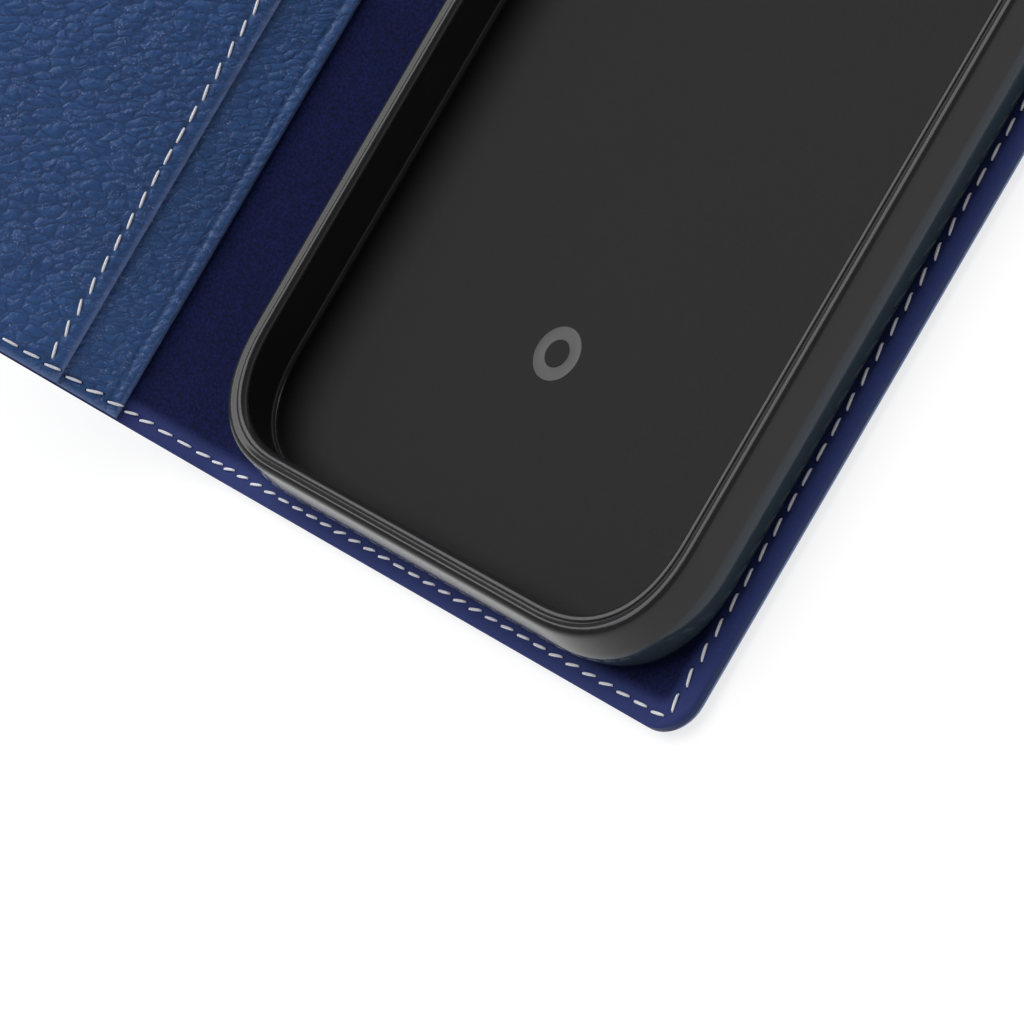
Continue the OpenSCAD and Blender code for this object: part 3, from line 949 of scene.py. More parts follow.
def layer(
    name, s_lines, y_lines, free, half_l, corner, top, bottom, keys, fold=None, cutters=(), wall_key=1
):
    """A closed layer of a cover between two height functions of (s, y, distance from the outline)."""
    side = 1 if free > s_lines.mean() else -1
    grid_s, grid_y = np.meshgrid(s_lines, y_lines, indexing="ij")
    s, y = round_corners(grid_s, grid_y, free, half_l, corner, side)
    d = edge_distance(s, y, free, half_l, corner, fold)
    rows, columns = s.shape
    upper = np.column_stack([s.ravel(), y.ravel(), top(s, y, d).ravel()])
    lower = np.column_stack([s.ravel(), y.ravel(), bottom(s, y, d).ravel()])
    index = np.arange(rows * columns).reshape(rows, columns)
    count = rows * columns
    a, b, c, e = index[:-1, :-1], index[1:, :-1], index[1:, 1:], index[:-1, 1:]
    up = np.stack([a, b, c, e], -1).reshape(-1, 4)
    down = np.stack([e, c, b, a], -1).reshape(-1, 4) + count
    rim = np.concatenate([index[:, 0], index[-1, 1:], index[-2::-1, -1], index[0, -2:0:-1]])
    following = np.roll(rim, -1)
    walls = np.stack([rim, rim + count, following + count, following], -1)
    faces = np.concatenate([up, down, walls]).tolist()
    kinds = [0] * (len(up) + len(down)) + [wall_key] * len(walls)
    obj = new_mesh(name, np.concatenate([upper, lower]), faces, keys, kinds)
    face_outward(obj)
    if cutters:
        cut(obj, cutters)
    flat = points_of(obj)
    keep(obj, "flat_mm", flat)
    keep(obj, "edge_mm", edge_distance(flat[:, 0], flat[:, 1], free, half_l, corner, fold))
    place(obj)
    return obj


def place(obj):
    """Moves a mesh drawn in flat places into the row frame."""
    bend = bpy.context.scene.wallet_sizes.bend / MM
    placed = lay(points_of(obj), bend) * MM
    obj.data.vertices.foreach_set("co", placed.astype(np.float32).ravel())
    obj.data.update()
    face_outward(obj)
    smooth(obj)


def dip(distance, width):
    """A soft groove: 1 on its line and 0 away from it."""
    return np.exp(-((distance / width) ** 2))


def rounded_drop(d, width):
    """0 inside and 1 at the outline, along a quarter ellipse."""
    near = np.clip(1 - d / width, 0, 1)
    return 1 - np.sqrt(np.maximum(0, 1 - near**2))


def step_up(x):
    """0 to 1 along a smooth step."""
    x = np.clip(x, 0, 1)
    return x * x * (3 - 2 * x)


def waver(s, y, size):
    """The slow, slight unevenness of hand-laid leather."""
    return size * (
        np.sin(0.11 * y + 0.9) * np.sin(0.07 * s + 0.4) + 0.6 * np.sin(0.23 * y + 0.31 * s) + 0.4 * np.sin(
            0.41 * y - 0.17 * s + 2.0
        )
    )


def stadium(half_w, half_l, corner, steps=12):
    """A rectangle's outline with round corners, by half sizes."""
    turns = np.linspace(0, math.pi / 2, steps + 1)
    points = []
    for quarter in range(4):
        angle = turns + quarter * math.pi / 2
        sx = 1 if quarter in (0, 3) else -1
        sy = 1 if quarter < 2 else -1
        across = sx * (half_w - corner) + corner * np.cos(angle)
        along = sy * (half_l - corner) + corner * np.sin(angle)
        points.append(np.column_stack([across, along]))
    return np.concatenate(points)


def prism(name, outline, low, high, place_points, key):
    """A closed prism on an outline, used to cut openings."""
    count = len(outline)
    ends = [np.column_stack([outline, np.full(count, h)]) for h in (low, high)]
    points = place_points(np.concatenate(ends))
    ring = np.arange(count)
    following = np.roll(ring, -1)
    walls = np.stack([ring, following, following + count, ring + count], -1).tolist()
    faces = [ring[::-1].tolist(), (ring + count).tolist(), *walls]
    obj = new_mesh(name, points, faces, [key])
    face_outward(obj)
    return obj


def camera_cutter(low, high):
    """The opening behind the phone's camera, through the cover's flat layers."""
    outline = stadium(
        CAMERA_HALF[0] + CAMERA_PLAY, CAMERA_HALF[1] + CAMERA_PLAY, CAMERA_CORNER + CAMERA_PLAY
    )

    def flat(points):
        return np.column_stack(
            [FOLD_1[0] - (points[:, 0] + CAMERA_MIDDLE[0]), points[:, 1] + CAMERA_MIDDLE[1], points[:, 2]]
        )

    return prism("camera_cutter", outline, low, high, flat, "edge")


# ---- stitches, found from the CAD stitches ----


def solids_of(node):
    """The corner points of each separate solid in a CAD node, in millimetres."""
    points = mesh_points(node)
    _, first, same = np.unique(np.round(points, 3), axis=0, return_index=True, return_inverse=True)
    same = same.ravel()
    parent = list(range(len(first)))

    def root(i):
        while parent[i] != i:
            parent[i] = parent[parent[i]]
            i = parent[i]
        return i

    for polygon in frame["nodes"][node].data.polygons:
        ids = [root(same[v]) for v in polygon.vertices]
        for i in ids[1:]:
            parent[root(i)] = root(ids[0])
    groups = {}
    for i in range(len(first)):
        groups.setdefault(root(i), []).append(points[first[i]])
    return [np.array(g) for g in groups.values()]


def stitches_of(node, body):
    """Each stitch's flat middle, turn in the flat plane, and length."""
    found = []
    for corners in solids_of(node):
        flat = flatten(corners, body)
        middle = (flat.max(0) + flat.min(0)) / 2
        spread, axes = np.linalg.eigh(np.cov((flat[:, :2] - middle[:2]).T))
        long_axis = axes[:, int(np.argmax(spread))]
        reach = np.ptp(flat[:, :2] @ long_axis)
        found.append((middle, math.atan2(long_axis[1], long_axis[0]), float(reach)))
    return sorted(found, key=lambda item: (round(item[0][0], 2), round(item[0][1], 2)))


# stitches on the outside are pulled deeper, so that the wallet lies flat
OUTSIDE_SINK = 0.3
# how far the thread runs on into its holes, the holes' half sizes, and their place past the stitch's end
THREAD_RUN_ON = 0.22
HOLE_HALF = (0.24, 0.16)
HOLE_OUT = 0.05
THREAD_RINGS = 15
THREAD_SIDES = 12
HOLE_SIDES = 10


def thread_form(length_mm, radius, twist, phase):
    """One stitch of three-ply thread: arched, with ends that taper and dive into their holes."""
    along = np.linspace(-1, 1, THREAD_RINGS)
    around = np.linspace(0, 2 * math.pi, THREAD_SIDES, endpoint=False)
    t, angle = np.meshgrid(along, around, indexing="ij")
    x = t * (length_mm / 2 + THREAD_RUN_ON)
    lobes = np.abs(np.cos(1.5 * (angle - 2 * math.pi * x / twist + phase)))
    taper = 1 - 0.55 * np.abs(t) ** 2.5
    r = radius * taper * (0.84 + 0.16 * lobes)
    lift = radius * 0.75 - (radius + 0.28) * np.abs(t) ** 7
    points = np.stack([x, r * np.cos(angle), r * np.sin(angle) * 0.9 + lift], -1).reshape(-1, 3)
    index = np.arange(THREAD_RINGS * THREAD_SIDES).reshape(THREAD_RINGS, THREAD_SIDES)
    turned = np.roll(index, -1, axis=1)
    faces = np.stack([index[:-1], index[1:], turned[1:], turned[:-1]], -1).reshape(-1, 4).tolist()
    faces.append(index[0].tolist())
    faces.append(index[-1][::-1].tolist())
    return points, faces, lobes.ravel()


def hole_form(width, height):
    """A shallow dished oval at a needle hole, which carries its painted shade."""
    angle = np.linspace(0, 2 * math.pi, HOLE_SIDES, endpoint=False)
    rim = np.column_stack([width * np.cos(angle), height * np.sin(angle), np.full(HOLE_SIDES, 0.0)])
    lip = np.column_stack([0.7 * rim[:, 0], 0.7 * rim[:, 1], np.full(HOLE_SIDES, 0.02)])
    base = np.column_stack([rim[:, 0], rim[:, 1], np.full(HOLE_SIDES, -0.05)])
    points = np.concatenate([lip, rim, base])
    ring = np.arange(HOLE_SIDES)
    turned = np.roll(ring, -1)
    faces = [ring.tolist(), (ring + 2 * HOLE_SIDES)[::-1].tolist()]
    for level in (0, 1):
        low = ring + (level + 1) * HOLE_SIDES
        up = ring + level * HOLE_SIDES
        faces += np.stack([up, low, np.roll(low, -1), turned + level * HOLE_SIDES], -1).tolist()
    return points, faces


def sew(name, stitches, surface_inside, surface_outside, both):
    """One mesh of thread stitches and the dark ovals of painted shade at their needle holes, on the inside, and on
    the outside if both.
    """
    sizes = bpy.context.scene.wallet_sizes
    radius = sizes.thread / MM / 2
    twist = sizes.twist / MM
    points, faces, kinds, plies = [], [], [], []
    used = 0
    for number, (middle, turn, reach) in enumerate(stitches):
        sides = [(surface_inside, 1)]
        if both:
            sides.append((surface_outside, -1))
        for surface, up in sides:
            wobble = 0.09 * math.sin(12.9898 * number + 4.1 * up) + 0.05 * math.sin(5.17 * number)
            form, form_faces, lobes = thread_form(reach, radius, twist, 1.7 * number)
            pieces = [(form, form_faces, lobes, 0, 0.0)]
            for end in (-1, 1):
                hole, hole_faces = hole_form(*HOLE_HALF)
                pieces.append((hole, hole_faces, np.ones(len(hole)), 1, end * (reach / 2 + HOLE_OUT)))
            c, n = math.cos(turn + wobble), math.sin(turn + wobble)
            for form, form_faces, lobes, kind, shift in pieces:
                x, y = form[:, 0] + shift, form[:, 1]
                s = middle[0] + c * x - n * y
                yy = middle[1] + n * x + c * y
                z = surface(s, yy) + up * form[:, 2]
                if kind == 0:
                    reached = np.array([-0.5, 0.5]) * reach
                    ends = surface(middle[0] + c * reached, middle[1] + n * reached)
                    z = np.interp(x, reached, ends) + up * form[:, 2]
                if up < 0:
                    z = z + OUTSIDE_SINK
                points.append(np.column_stack([s, yy, z]))
                faces += [[v + used for v in f] for f in form_faces]
                kinds += [kind] * len(form_faces)
                plies.append(lobes)
                used += len(form)
    obj = new_mesh(name, np.concatenate(points), faces, ["thread", "hole"], kinds)
    keep(obj, "flat_mm", points_of(obj))
    keep(obj, "ply", np.concatenate(plies))
    place(obj)
    smooth(obj, 60.0)
    return obj


# ---- shapes of the faces, all in millimetres ----


def seam_lines(node, body):
    """How far in from the ends and from the free edge a cover's stitch lines run."""
    found = stitches_of(node, body)
    ends = [abs(m[1]) for m, turn, _ in found if abs(math.sin(turn)) < 0.5]
    sides = [m[0] for m, turn, _ in found if abs(math.sin(turn)) >= 0.5]
    return HALF_L - max(ends), float(np.median(sides))


END_INSET, BACK_SIDE_SEAM = seam_lines("back_stitching", "back_cover")
_, FRONT_SIDE_SEAM = seam_lines("front_stitching", "front_cover")
POCKET_SEAM = float(np.median([m[0] for m, _, _ in stitches_of("pocket_stitching", "front_cover")]))
JOGS = [float(LIPS[n][1][1]) for n in ("card_pocket_front", "card_pocket_middle", "card_pocket_rear")]
OVERLAP = float(LIPS["card_pocket_front"][1][1] - LIPS["card_pocket_middle"][0][1])
RAMP = 2.0
# a seam's groove: half its width, and where it stops short of the row that it meets
SEAM_WIDTH = 0.42
SEAM_CLEAR = 0.6
# the outer leather's rim takes this share of the lining's drop at the border
RIM_SHARE = 0.45
# height and width of the outer leather's rounded, turned edge
TURN_HEIGHT = 1.15
TURN_WIDTH = 1.4


def seam_dip(s, y):
    """Depth share of the perimeter seams at a place."""
    ends = dip(HALF_L - END_INSET - np.abs(y), SEAM_WIDTH)
    back = dip(s - BACK_SIDE_SEAM, SEAM_WIDTH)
    front = dip(s - FRONT_SIDE_SEAM, SEAM_WIDTH)
    inside = np.abs(y) < HALF_L - END_INSET - SEAM_CLEAR
    between = (s > BACK_SIDE_SEAM + SEAM_CLEAR) & (s < FRONT_SIDE_SEAM - SEAM_CLEAR)
    return np.maximum(ends * between, np.maximum(back, front) * inside)


def settings_mm(*names):
    """Length settings in millimetres."""
    sizes = bpy.context.scene.wallet_sizes
    return [getattr(sizes, n) / MM for n in names]


def border_share(s):
    """1 over the back cover and spine, where the border is pressed round, to 0 under the pockets."""
    return 1 - step_up((s - SPINE_W + 2.5) / 4.0)


def lining_top(s, y, d):
    """The suede's upper face."""
    deep, wide, drop = settings_mm("seam_dip", "edge_round", "edge_drop")
    share = border_share(s)
    height = COVER_T - share * drop * rounded_drop(d, wide) - (1 - share) * 0.1 * rounded_drop(d, 0.4)
    return height - deep * share * seam_dip(s, y)


def lining_bottom(s, y, d):
    """The suede's lower face, thinned toward its edge."""
    wide, drop = settings_mm("edge_round", "edge_drop")
    return RIM_T + SEAT - border_share(s) * RIM_SHARE * drop * rounded_drop(d, wide)


def leather_top(s, y, d):
    """The outer leather's upper face: a raised rim round the boards."""
    wide, drop = settings_mm("edge_round", "edge_drop")
    rim = RIM_T - border_share(s) * RIM_SHARE * drop * rounded_drop(d, wide)
    return np.where(d < RIM_IN, rim, LEATHER_T)


def leather_bottom(s, y, d):
    """The outer leather's outer face, rounded at its turned edge and dipped along the seams."""
    (deep,) = settings_mm("seam_dip")
    return TURN_HEIGHT * rounded_drop(d, TURN_WIDTH) + deep * seam_dip(s, y)


def pocket_level(y):
    """Height of the card pockets' face above the bill pocket's liner, as steps of card leather."""
    level = np.full(np.shape(y), float(PANEL[1][2]))
    for lip in JOGS:
        level = level + CARD_T * ((y > lip - OVERLAP) & (y < lip))
    return np.minimum(level, PANEL[1][2] + CARD_T)


def inside_face(s, y):
    """Height of whatever lies uppermost on the covers' inside, where stitches sit."""
    d_end = HALF_L - np.abs(y)
    base = lining_top(s, y, np.minimum(d_end, 3.0))
    bill = BILL[1][2]
    (deep,) = settings_mm("seam_dip")
    sunk = deep * seam_dip(s, y)
    height = np.where(s > BILL[0][0], bill - sunk, base)
    card = pocket_level(y) - sunk
    return np.where(s > PANEL[0][0], card, height)


def back_face(s, y):
    """Height of the covers' outer face where the outside stitches sit."""
    (deep,) = settings_mm("seam_dip")
    return deep * seam_dip(s, y)


# ---- operators ----


class WALLET_OT_tray(bpy.types.Operator):
    """Phone tray: a thin moulded shell with a rolled rim, and its camera and button openings"""

    bl_idname = "wallet.tray"
    bl_label = "Phone Tray"

    def execute(self, context):
        full = LIP_REACH + TRAY_WALL
        foot, rim, floor = TRAY_FOOT, TRAY_RIM, TRAY_FLOOR
        # height and distance out from the lip's inner outline, from the foot round to the floor
        outer = [
            (foot, 2.45), (foot + 0.05, 2.57), (foot + 0.2, 2.74), (foot + 0.45, 2.9), (foot + 0.8, 3.03),
            (foot + 1.2, 3.14), (foot + 1.8, 3.26), (foot + 2.4, 3.36), (foot + 3.0, 3.43),
            (foot + 3.9, full), (foot + 4.7, 3.44), (foot + 5.7, 3.22), (foot + 6.7, 3.02),
            (foot + 7.7, 2.8), (foot + 8.4, 2.65)
        ]
        shoulder = [
            (rim - 0.55, 2.55), (rim - 0.37, 2.46), (rim - 0.2, 2.31), (rim - 0.08, 2.1),
            (rim - 0.01, 1.88), (rim, 1.74), (rim - 0.02, 1.66), (rim - 0.1, 1.5), (rim - 0.19, 1.24),
            (rim - 0.2, 1.16), (rim - 0.15, 1.1), (rim - 0.06, 1.02), (rim - 0.02, 0.92),
            (rim - 0.02, 0.62), (rim - 0.06, 0.5)
        ]
        lip = [
            (rim - 0.18, 0.36), (rim - 0.4, 0.2), (rim - 0.62, 0.08), (rim - 0.8, 0.02),
            (rim - 0.92, 0.0), (rim - 0.99, 0.03), (rim - 1.05, 0.14), (rim - 1.25, 0.8),
            (rim - 1.42, 1.28), (rim - 1.58, 1.46), (rim - 1.8, LIP_REACH)
        ]
        well = [
            (floor + 0.85, LIP_REACH), (floor + 0.55, 1.45), (floor + 0.3, 1.31), (floor + 0.12, 1.09),
            (floor + 0.03, 0.86), (floor, 0.7), (floor, 0.5)
        ]
        profile = outer + shoulder + lip + well
        steps = 30
        turns = np.linspace(0, math.pi / 2, steps + 1)
        c = np.abs(np.cos(turns)) ** (2 / CORNER_POWER)
        n = np.abs(np.sin(turns)) ** (2 / CORNER_POWER)
        rings = []
        for z, grow in profile:
            hw = TRAY_HALF[0] - full + grow
            hl = TRAY_HALF[1] - full + grow
            r = LIP_CORNER + 0.8 * grow
            corner = [
                np.column_stack([hw - r + r * c, hl - r + r * n]),
                np.column_stack([-(hw - r + r * n), hl - r + r * c]),
                np.column_stack([-(hw - r + r * c), -(hl - r + r * n)]),
                np.column_stack([hw - r + r * n, -(hl - r + r * c)])
            ]
            outline = np.concatenate(corner)
            rings.append(np.column_stack([outline, np.full(len(outline), z)]))
        points = np.concatenate(rings)
        count = len(rings[0])
        index = np.arange(len(points)).reshape(len(rings), count)
        turned = np.roll(index, -1, axis=1)
        faces = np.stack([index[:-1], turned[:-1], turned[1:], index[1:]], -1).reshape(-1, 4).tolist()
        kinds = [0] * len(faces)
        matt_rings = 2
        for i in range(matt_rings * count):
            kinds[-1 - i] = 1
        faces += [index[0][::-1].tolist(), index[-1].tolist()]
        kinds += [0, 1]
        obj = new_mesh("phone_tray_shell", points, faces, ["tray", "tray_floor"], kinds)
        face_outward(obj)
        cut(obj, self.cutters())
        where = points_of(obj)
        over = np.maximum(np.abs(where[:, :2]) - (TRAY_HALF - TRAY_WALL - LIP_CORNER), 0.0)
        from_cavity = np.sum(over**CORNER_POWER, axis=1) ** (1 / CORNER_POWER) - LIP_CORNER
        keep(obj, "outside", (from_cavity > 0.4).astype(float))
        smooth(obj, 32.0)
        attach(obj, "back_cover")
        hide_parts("phone_tray")
        return {"FINISHED"}

    def cutters(self):
        """Closed meshes of the openings."""
        made = []

        def at_camera(points):
            return points + np.array([CAMERA_MIDDLE[0], CAMERA_MIDDLE[1], 0.0])

        outline = stadium(CAMERA_HALF[0], CAMERA_HALF[1], CAMERA_CORNER, 16)
        made.append(prism("tray_camera", outline, TRAY_FOOT - 1, TRAY_FLOOR + 1, at_camera, "tray"))
        for side, (middle, run, high) in ((-1, VOLUME_SLOT), (1, POWER_SLOT)):

            def at_side(points, side=side, middle=middle):
                return np.column_stack(
                    [side * points[:, 2], points[:, 0] + middle, points[:, 1] + BUTTON_Z]
                )

            outline = stadium(run / 2, high / 2, high / 2 - 0.01, 10)
            made.append(prism("tray_side", outline, TRAY_HALF[0] - 5, TRAY_HALF[0] + 2, at_side, "tray"))
        return made


class WALLET_OT_ring_mark(bpy.types.Operator):
    """Plain printed ring on the tray floor"""

    bl_idname = "wallet.ring_mark"
    bl_label = "Ring Mark"

    def execute(self, context):
        outside, up = settings_mm("ring", "ring_from_edge")
        middle = np.array([0.0, -HALF_L + up, TRAY_FLOOR])
        section = [
            (0.5, -0.02), (0.497, 0.012), (0.485, 0.022), (0.27, 0.022), (0.258, 0.012), (0.255, -0.02)
        ]
        sides = 72
        angle = np.linspace(0, 2 * math.pi, sides, endpoint=False)
        rings = [
            np.column_stack(
                [outside * r * np.cos(angle), outside * r * np.sin(angle), np.full(sides, z)]
            ) + middle for r,
            z in section
        ]
        index = np.arange(sides * len(section)).reshape(len(section), sides)
        after = np.roll(index, -1, axis=0)
        faces = np.stack([index, np.roll(index, -1, axis=1), np.roll(after, -1, axis=1), after], -1)
        obj = new_mesh("printed_ring", np.concatenate(rings), faces.reshape(-1, 4).tolist(), ["mark"])
        face_outward(obj)
        smooth(obj)
        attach(obj, "back_cover")
        return {"FINISHED"}


def bend_at_fold_1(obj):
    """Bakes a piece's transform into its mesh; its bend between the back cover and the spine comes from place."""
    (bend,) = settings_mm("bend")
    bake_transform(obj)


def bend_at_fold_2(obj):
    """Bakes a piece's transform into its mesh; its bend between the spine and the front cover comes from place."""
    (bend,) = settings_mm("bend")
    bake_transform(obj)


def cover_skins(name, top, bottom, key, opening_low):
    """One layer over both covers, in two skins that meet along the spine's middle and bend at the folds."""
    y_lines = across_lines(-HALF_L, HALF_L)
    made = []
    for end, free in (("_back", BACK_FREE), ("_front", FRONT_FREE)):
        cutters = [camera_cutter(opening_low, COVER_T + 1)] if free == BACK_FREE else ()
        lines = along_lines(SPINE_MID, free)
        keys = [key, "edge"]
        made.append(
            layer(
                name + end, lines, y_lines, free, HALF_L, COVER_CORNER, top, bottom, keys, cutters=cutters
            )
        )
    bend_at_fold_1(made[0])
    bend_at_fold_2(made[1])
    return made


class WALLET_OT_outer_leather(bpy.types.Operator):
    """Outer leather of both covers and the spine, in two skins that meet along the spine's middle"""

    bl_idname = "wallet.outer_leather"
    bl_label = "Outer Leather"

    def execute(self, context):
        back, front = cover_skins("outer_leather", leather_top, leather_bottom, "leather", -1)
        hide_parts("back_leather", "spine_leather")
        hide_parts("front_leather")
        return {"FINISHED"}


class WALLET_OT_suede_lining(bpy.types.Operator):
    """Microsuede lining of both covers and the spine, pressed round at its border"""

    bl_idname = "wallet.suede_lining"
    bl_label = "Suede Lining"

    def execute(self, context):
        back, front = cover_skins("suede_lining", lining_top, lining_bottom, "suede", RIM_T - 1)
        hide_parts("back_lining", "spine_lining")
        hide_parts("front_lining")
        return {"FINISHED"}


class WALLET_OT_bill_pocket(bpy.types.Operator):
    """Full-height bill pocket, with a turned edge and a pressed crease toward the spine"""

    bl_idname = "wallet.bill_pocket"
    bl_label = "Bill Pocket"

    def execute(self, context):
        deep, crease = settings_mm("seam_dip", "crease_in")
        low, high = BILL
        fold, free, half_l = float(low[0]), float(high[0]), float(high[1])

        def top(s, y, d):
            bead = 0.13 * np.exp(-(((s - fold - 0.8) / 0.65) ** 2))
            pressed = 0.14 * dip(s - fold - crease, 0.32)
            height = high[2] - 0.14 - 0.3 * rounded_drop(d, 0.45) + bead - pressed
            height = height + waver(s, y, 0.02) * (d > 3) + 0.14 * (s > PANEL[0][0])
            return np.minimum(height, high[2]) - deep * seam_dip(s, y) * (s > fold + 1.0)

        def bottom(s, y, d):
            return low[2] + SEAT + 0.18 * rounded_drop(d, 0.35)

        obj = layer(
            "bill_pocket_leather", along_lines(fold, free, extra=(fold + crease, POCKET_SEAM)),
            across_lines(-half_l, half_l), free, half_l, HEM_CORNER, top, bottom,
            ["leather_thin", "edge"], fold=fold, wall_key=0
        )
        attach(obj, "front_cover")
        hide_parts("bill_pocket")
        return {"FINISHED"}


class WALLET_OT_card_pockets(bpy.types.Operator):
    """Card panel and three stepped card pockets, each lip over the piece behind it"""

    bl_idname = "wallet.card_pockets"
    bl_label = "Card Pockets"

    def execute(self, context):
        for node in ("card_panel", "card_pocket_rear", "card_pocket_middle", "card_pocket_front"):
            low, high = flat_box(node, "front_cover")
            self.pocket(node, low, high)
        return {"FINISHED"}

    def pocket(self, node, low, high):
        """One pocket: its low part lies on the liner, and its lip steps over the piece behind."""
        (deep,) = settings_mm("seam_dip")
        fold, free = float(low[0]), float(high[0])
        half_l = float(BILL[1][1])
        y_low, y_high = float(low[1]), float(high[1])
        has_lip = node != "card_panel"
        jog = y_high - OVERLAP

        def rise(y):
            return CARD_T * step_up((y - jog + RAMP) / RAMP) if has_lip else 0 * y

        def near(s, y):
            """Distance in from this pocket's own outline."""
            d = edge_distance(s, y, free, half_l, HEM_CORNER, fold)
            if has_lip:
                d = np.minimum(d, y_high - y)
            return np.maximum(d, 0.0)

        def top(s, y, d):
            own = near(s, y)
            crease = 0.12 * dip(y_high - y - 1.6, 0.25) if has_lip else 0
            seam = dip(s - POCKET_SEAM, SEAM_WIDTH) * (np.abs(y) < HALF_L - END_INSET - SEAM_CLEAR)
            sunk = deep * np.maximum(seam_dip(s, y), seam)
            pillow = waver(s, y, 0.035) * step_up((own - 3) / 6)
            height = low[2] + CARD_T + rise(y) - 0.32 * rounded_drop(own, 0.8)
            return height - crease - sunk + pillow - 0.05

        def bottom(s, y, d):
            return low[2] + SEAT + rise(y) + 0.1 * rounded_drop(near(s, y), 0.25)

        low_edge = y_low < -half_l + 0.5
        high_edge = y_high > half_l - 0.5
        extra = [
            jog - 2.0, jog - 1.5, jog - 1.0, jog - 0.5, jog, y_high - 1.6, y_high - 0.45
        ] if has_lip else []
        lines = across_lines(y_low, y_high, extra, low_edge, high_edge)
        if has_lip:
            lines = np.unique(np.append(lines, [y_high - o for o in (0.04, 0.12, 0.26, 0.42)]))
        obj = layer(
            node + "_leather", along_lines(fold, free, extra=(POCKET_SEAM,)), lines, free, half_l,
            HEM_CORNER, top, bottom, ["leather", "edge"], fold=fold
        )
        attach(obj, "front_cover")
        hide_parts(node)


class WALLET_OT_stitching(bpy.types.Operator):
    """Perimeter and pocket stitches of twisted thread, with dark ovals of painted shade at their needle holes"""

    bl_idname = "wallet.stitching"
    bl_label = "Stitching"

    def execute(self, context):
        spine = stitches_of("spine_stitching", "spine")
        back = stitches_of("back_stitching", "back_cover") + [s for s in spine if s[0][0] < SPINE_MID]
        front = stitches_of("front_stitching", "front_cover") + [s for s in spine if s[0][0] >= SPINE_MID]
        pocket = stitches_of("pocket_stitching", "front_cover")
        back += self.over_fold(back, 0.0)
        front += self.over_fold(front, SPINE_W)

        def pocket_face(s, y):
            (deep,) = settings_mm("seam_dip")
            return pocket_level(y) - deep - 0.05

        back_row = sew("stitching_back", back, inside_face, back_face, True)
        front_row = sew("stitching_front", front, inside_face, back_face, True)
        pocket_row = sew("stitching_pocket", pocket, pocket_face, back_face, False)
        bend_at_fold_1(back_row)
        bend_at_fold_2(front_row)
        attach(pocket_row, "front_cover")
        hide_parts("back_stitching", "spine_stitching")
        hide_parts("front_stitching")
        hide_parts("pocket_stitching")
        return {"FINISHED"}

    def over_fold(self, row, s):
        """The stitch that crosses a fold at each end of it, turned like the rest of the row."""
        ends = [item for item in row if abs(math.sin(item[1])) < 0.5]
        y = max(item[0][1] for item in ends)
        leans = [math.atan(math.tan(item[1])) for item in ends]
        reach = float(np.median([item[2] for item in ends]))
        return [(np.array([s, side * y, COVER_T]), float(np.median(leans)), reach) for side in (-1, 1)]


class WALLET_OT_inner_layers(bpy.types.Operator):
    """Finishes for the CAD layers that stay: boards, interliner, adhesive and card liner"""

    bl_idname = "wallet.inner_layers"
    bl_label = "Inner Layers"

    def execute(self, context):
        finishes = {
            "back_board": "board", "front_board": "board", "spine_interliner": "interliner",
            "tray_adhesive": "adhesive", "card_liner": "liner"
        }
        for node, key in finishes.items():
            mesh = frame["nodes"][node].data
            mesh.materials.clear()
            mesh.materials.append(material_for(key))
        return {"FINISHED"}


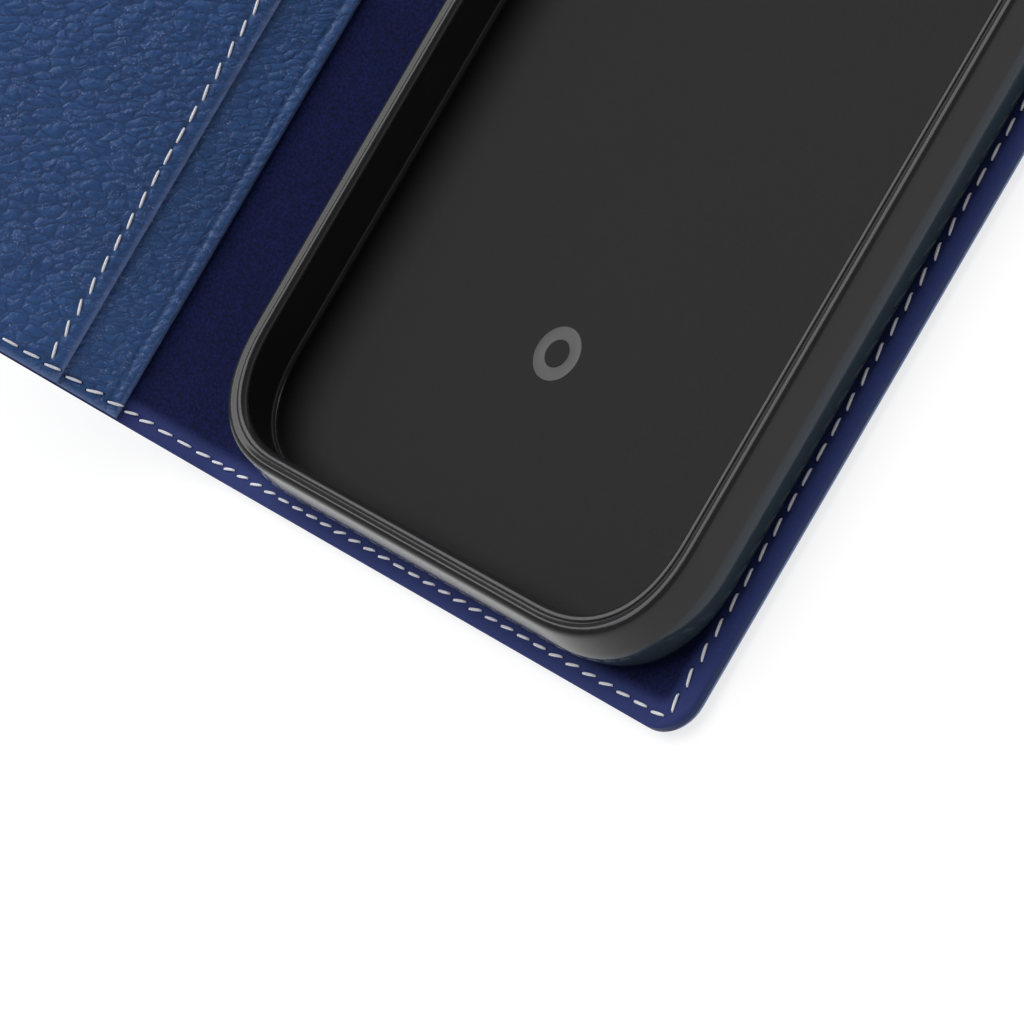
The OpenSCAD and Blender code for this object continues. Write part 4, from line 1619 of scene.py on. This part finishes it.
class WALLET_OT_stage(bpy.types.Operator):
    """White studio floor, soft light and the camera"""

    bl_idname = "wallet.stage"
    bl_label = "Studio Stage"

    def execute(self, context):
        stage = context.scene.wallet_stage
        self.floor(context)
        self.lights(context, stage)
        self.camera(context, stage)
        context.scene.view_settings.view_transform = "Standard"
        return {"FINISHED"}

    def floor(self, context):
        """A large flat floor, with a little light of its own so that it stays white."""
        low = CAD_BOX[0][2]
        mesh = bpy.data.meshes.new("studio_floor")
        corners = [(x * FLOOR_HALF, y * FLOOR_HALF, low) for x, y in ((-1, -1), (1, -1), (1, 1), (-1, 1))]
        mesh.from_pydata(corners, [], [(0, 1, 2, 3)])
        material, tree = start_material("painted_floor")
        # rolled matt paint on a smooth board, with a barely visible roller stipple
        place = add_node(tree, "ShaderNodeTexCoord").outputs["Object"]
        stipple = add_node(
            tree, "ShaderNodeTexNoise", sockets={"Vector": place, "Scale": 300.0, "Detail": 2.0}
        )
        rough = add_node(
            tree, "ShaderNodeMapRange",
            sockets={"Value": stipple.outputs["Fac"], "To Min": 0.7, "To Max": 0.9}
        )
        white = opaque(context.scene.wallet_colours.floor)
        finish_material(
            tree,
            {
                "Base Color": white, "Roughness": rough.outputs["Result"], "Specular IOR Level": 0.1,
                "Emission Color": (1.0, 1.0, 1.0, 1.0), "Emission Strength": FLOOR_GLOW
            }
        )
        mesh.materials.append(material)
        floor = bpy.data.objects.new("studio_floor", mesh)
        floor.location.z = -FLOOR_GAP
        context.scene.collection.objects.link(floor)

    def lights(self, context, stage):
        """A large softbox overhead, a low one at the bottom end, and white walls under a dim ceiling."""
        world = bpy.data.worlds.new("white_surround")
        world.use_nodes = True
        world.node_tree.nodes.clear()
        tree = world.node_tree
        toward = add_node(tree, "ShaderNodeTexCoord").outputs["Generated"]
        height = add_node(tree, "ShaderNodeSeparateXYZ", sockets={0: toward}).outputs[2]
        # white walls that give way to a dim ceiling
        level = add_node(
            tree, "ShaderNodeMapRange", SOFT_STEP,
            {"Value": height, "From Min": 0.05, "From Max": 0.55, "To Min": 0.85, "To Max": stage.ceiling}
        ).outputs["Result"]
        sky = add_node(
            tree, "ShaderNodeBackground", sockets={"Color": (1.0, 1.0, 1.0, 1.0), "Strength": level}
        )
        add_node(tree, "ShaderNodeOutputWorld", sockets={"Surface": sky.outputs["Background"]})
        context.scene.world = world
        softboxes = (
            ("overhead_softbox", (-0.42, 0.12, 1.0), 1.1, 1.1, stage.key),
            ("bottom_softbox", (0.15, -0.55, 0.18), 0.5, 0.16, stage.side)
        )
        for name, where, wide, high, power in softboxes:
            light = bpy.data.lights.new(name, "AREA")
            light.shape = "RECTANGLE"
            light.size = wide
            light.size_y = high
            light.energy = power
            lamp = bpy.data.objects.new(name, light)
            lamp.location = where
            lamp.rotation_mode = "QUATERNION"
            aim = Vector((0.0, -0.03, 0.01)) - Vector(where)
            lamp.rotation_quaternion = aim.to_track_quat("-Z", "Y")
            context.scene.collection.objects.link(lamp)

    def camera(self, context, stage):
        """Looks down on the lower half of the open wallet."""
        data = bpy.data.cameras.new("camera")
        data.lens = stage.lens
        data.sensor_width = 36.0
        data.shift_y = stage.shift
        data.clip_start = 0.01
        camera = bpy.data.objects.new("camera", data)
        aim = Vector(
            ((-BACK_FREE + FOLD_1[0]) * MM - stage.aim_in, -HALF_L * MM + stage.aim_up, COVER_T * MM)
        )
        back = Vector(
            (
                math.sin(stage.azimuth) * math.cos(stage.elevation),
                -math.cos(stage.azimuth) * math.cos(stage.elevation), math.sin(stage.elevation)
            )
        )
        level = (-back).to_track_quat("-Z", "Y").to_matrix()
        turned = level @ Matrix.Rotation(stage.roll, 3, "Z")
        camera.matrix_world = Matrix.Translation(aim + stage.distance * back) @ turned.to_4x4()
        context.scene.collection.objects.link(camera)
        context.scene.camera = camera


OPERATORS = (
    WALLET_OT_tray, WALLET_OT_ring_mark, WALLET_OT_outer_leather, WALLET_OT_suede_lining,
    WALLET_OT_bill_pocket, WALLET_OT_card_pockets, WALLET_OT_stitching, WALLET_OT_inner_layers,
    WALLET_OT_stage
)


class WALLET_PT_panel(bpy.types.Panel):
    """Wallet builder"""

    bl_idname = "WALLET_PT_panel"
    bl_label = "Bookfold Phone Wallet"
    bl_space_type = "VIEW_3D"
    bl_region_type = "UI"
    bl_category = "Wallet"

    def draw(self, context):
        layout = self.layout
        for group in (context.scene.wallet_sizes, context.scene.wallet_colours, context.scene.wallet_stage):
            box = layout.box()
            for name in group.__annotations__:
                box.prop(group, name)
        for operator in OPERATORS:
            layout.operator(operator.bl_idname)


GROUPS = {"wallet_sizes": WalletSizes, "wallet_colours": WalletColours, "wallet_stage": WalletStage}
CLASSES = (*GROUPS.values(), *OPERATORS, WALLET_PT_panel)


def register():
    for item in CLASSES:
        bpy.utils.register_class(item)
    for name, group in GROUPS.items():
        setattr(bpy.types.Scene, name, PointerProperty(type=group))


def unregister():
    for name in GROUPS:
        delattr(bpy.types.Scene, name)
    for item in reversed(CLASSES):
        bpy.utils.unregister_class(item)


def main():
    register()
    bpy.ops.wallet.tray()
    bpy.ops.wallet.ring_mark()
    bpy.ops.wallet.outer_leather()
    bpy.ops.wallet.suede_lining()
    bpy.ops.wallet.bill_pocket()
    bpy.ops.wallet.card_pockets()
    bpy.ops.wallet.stitching()
    bpy.ops.wallet.inner_layers()
    bpy.ops.wallet.stage()


if __name__ == "__main__":
    main()
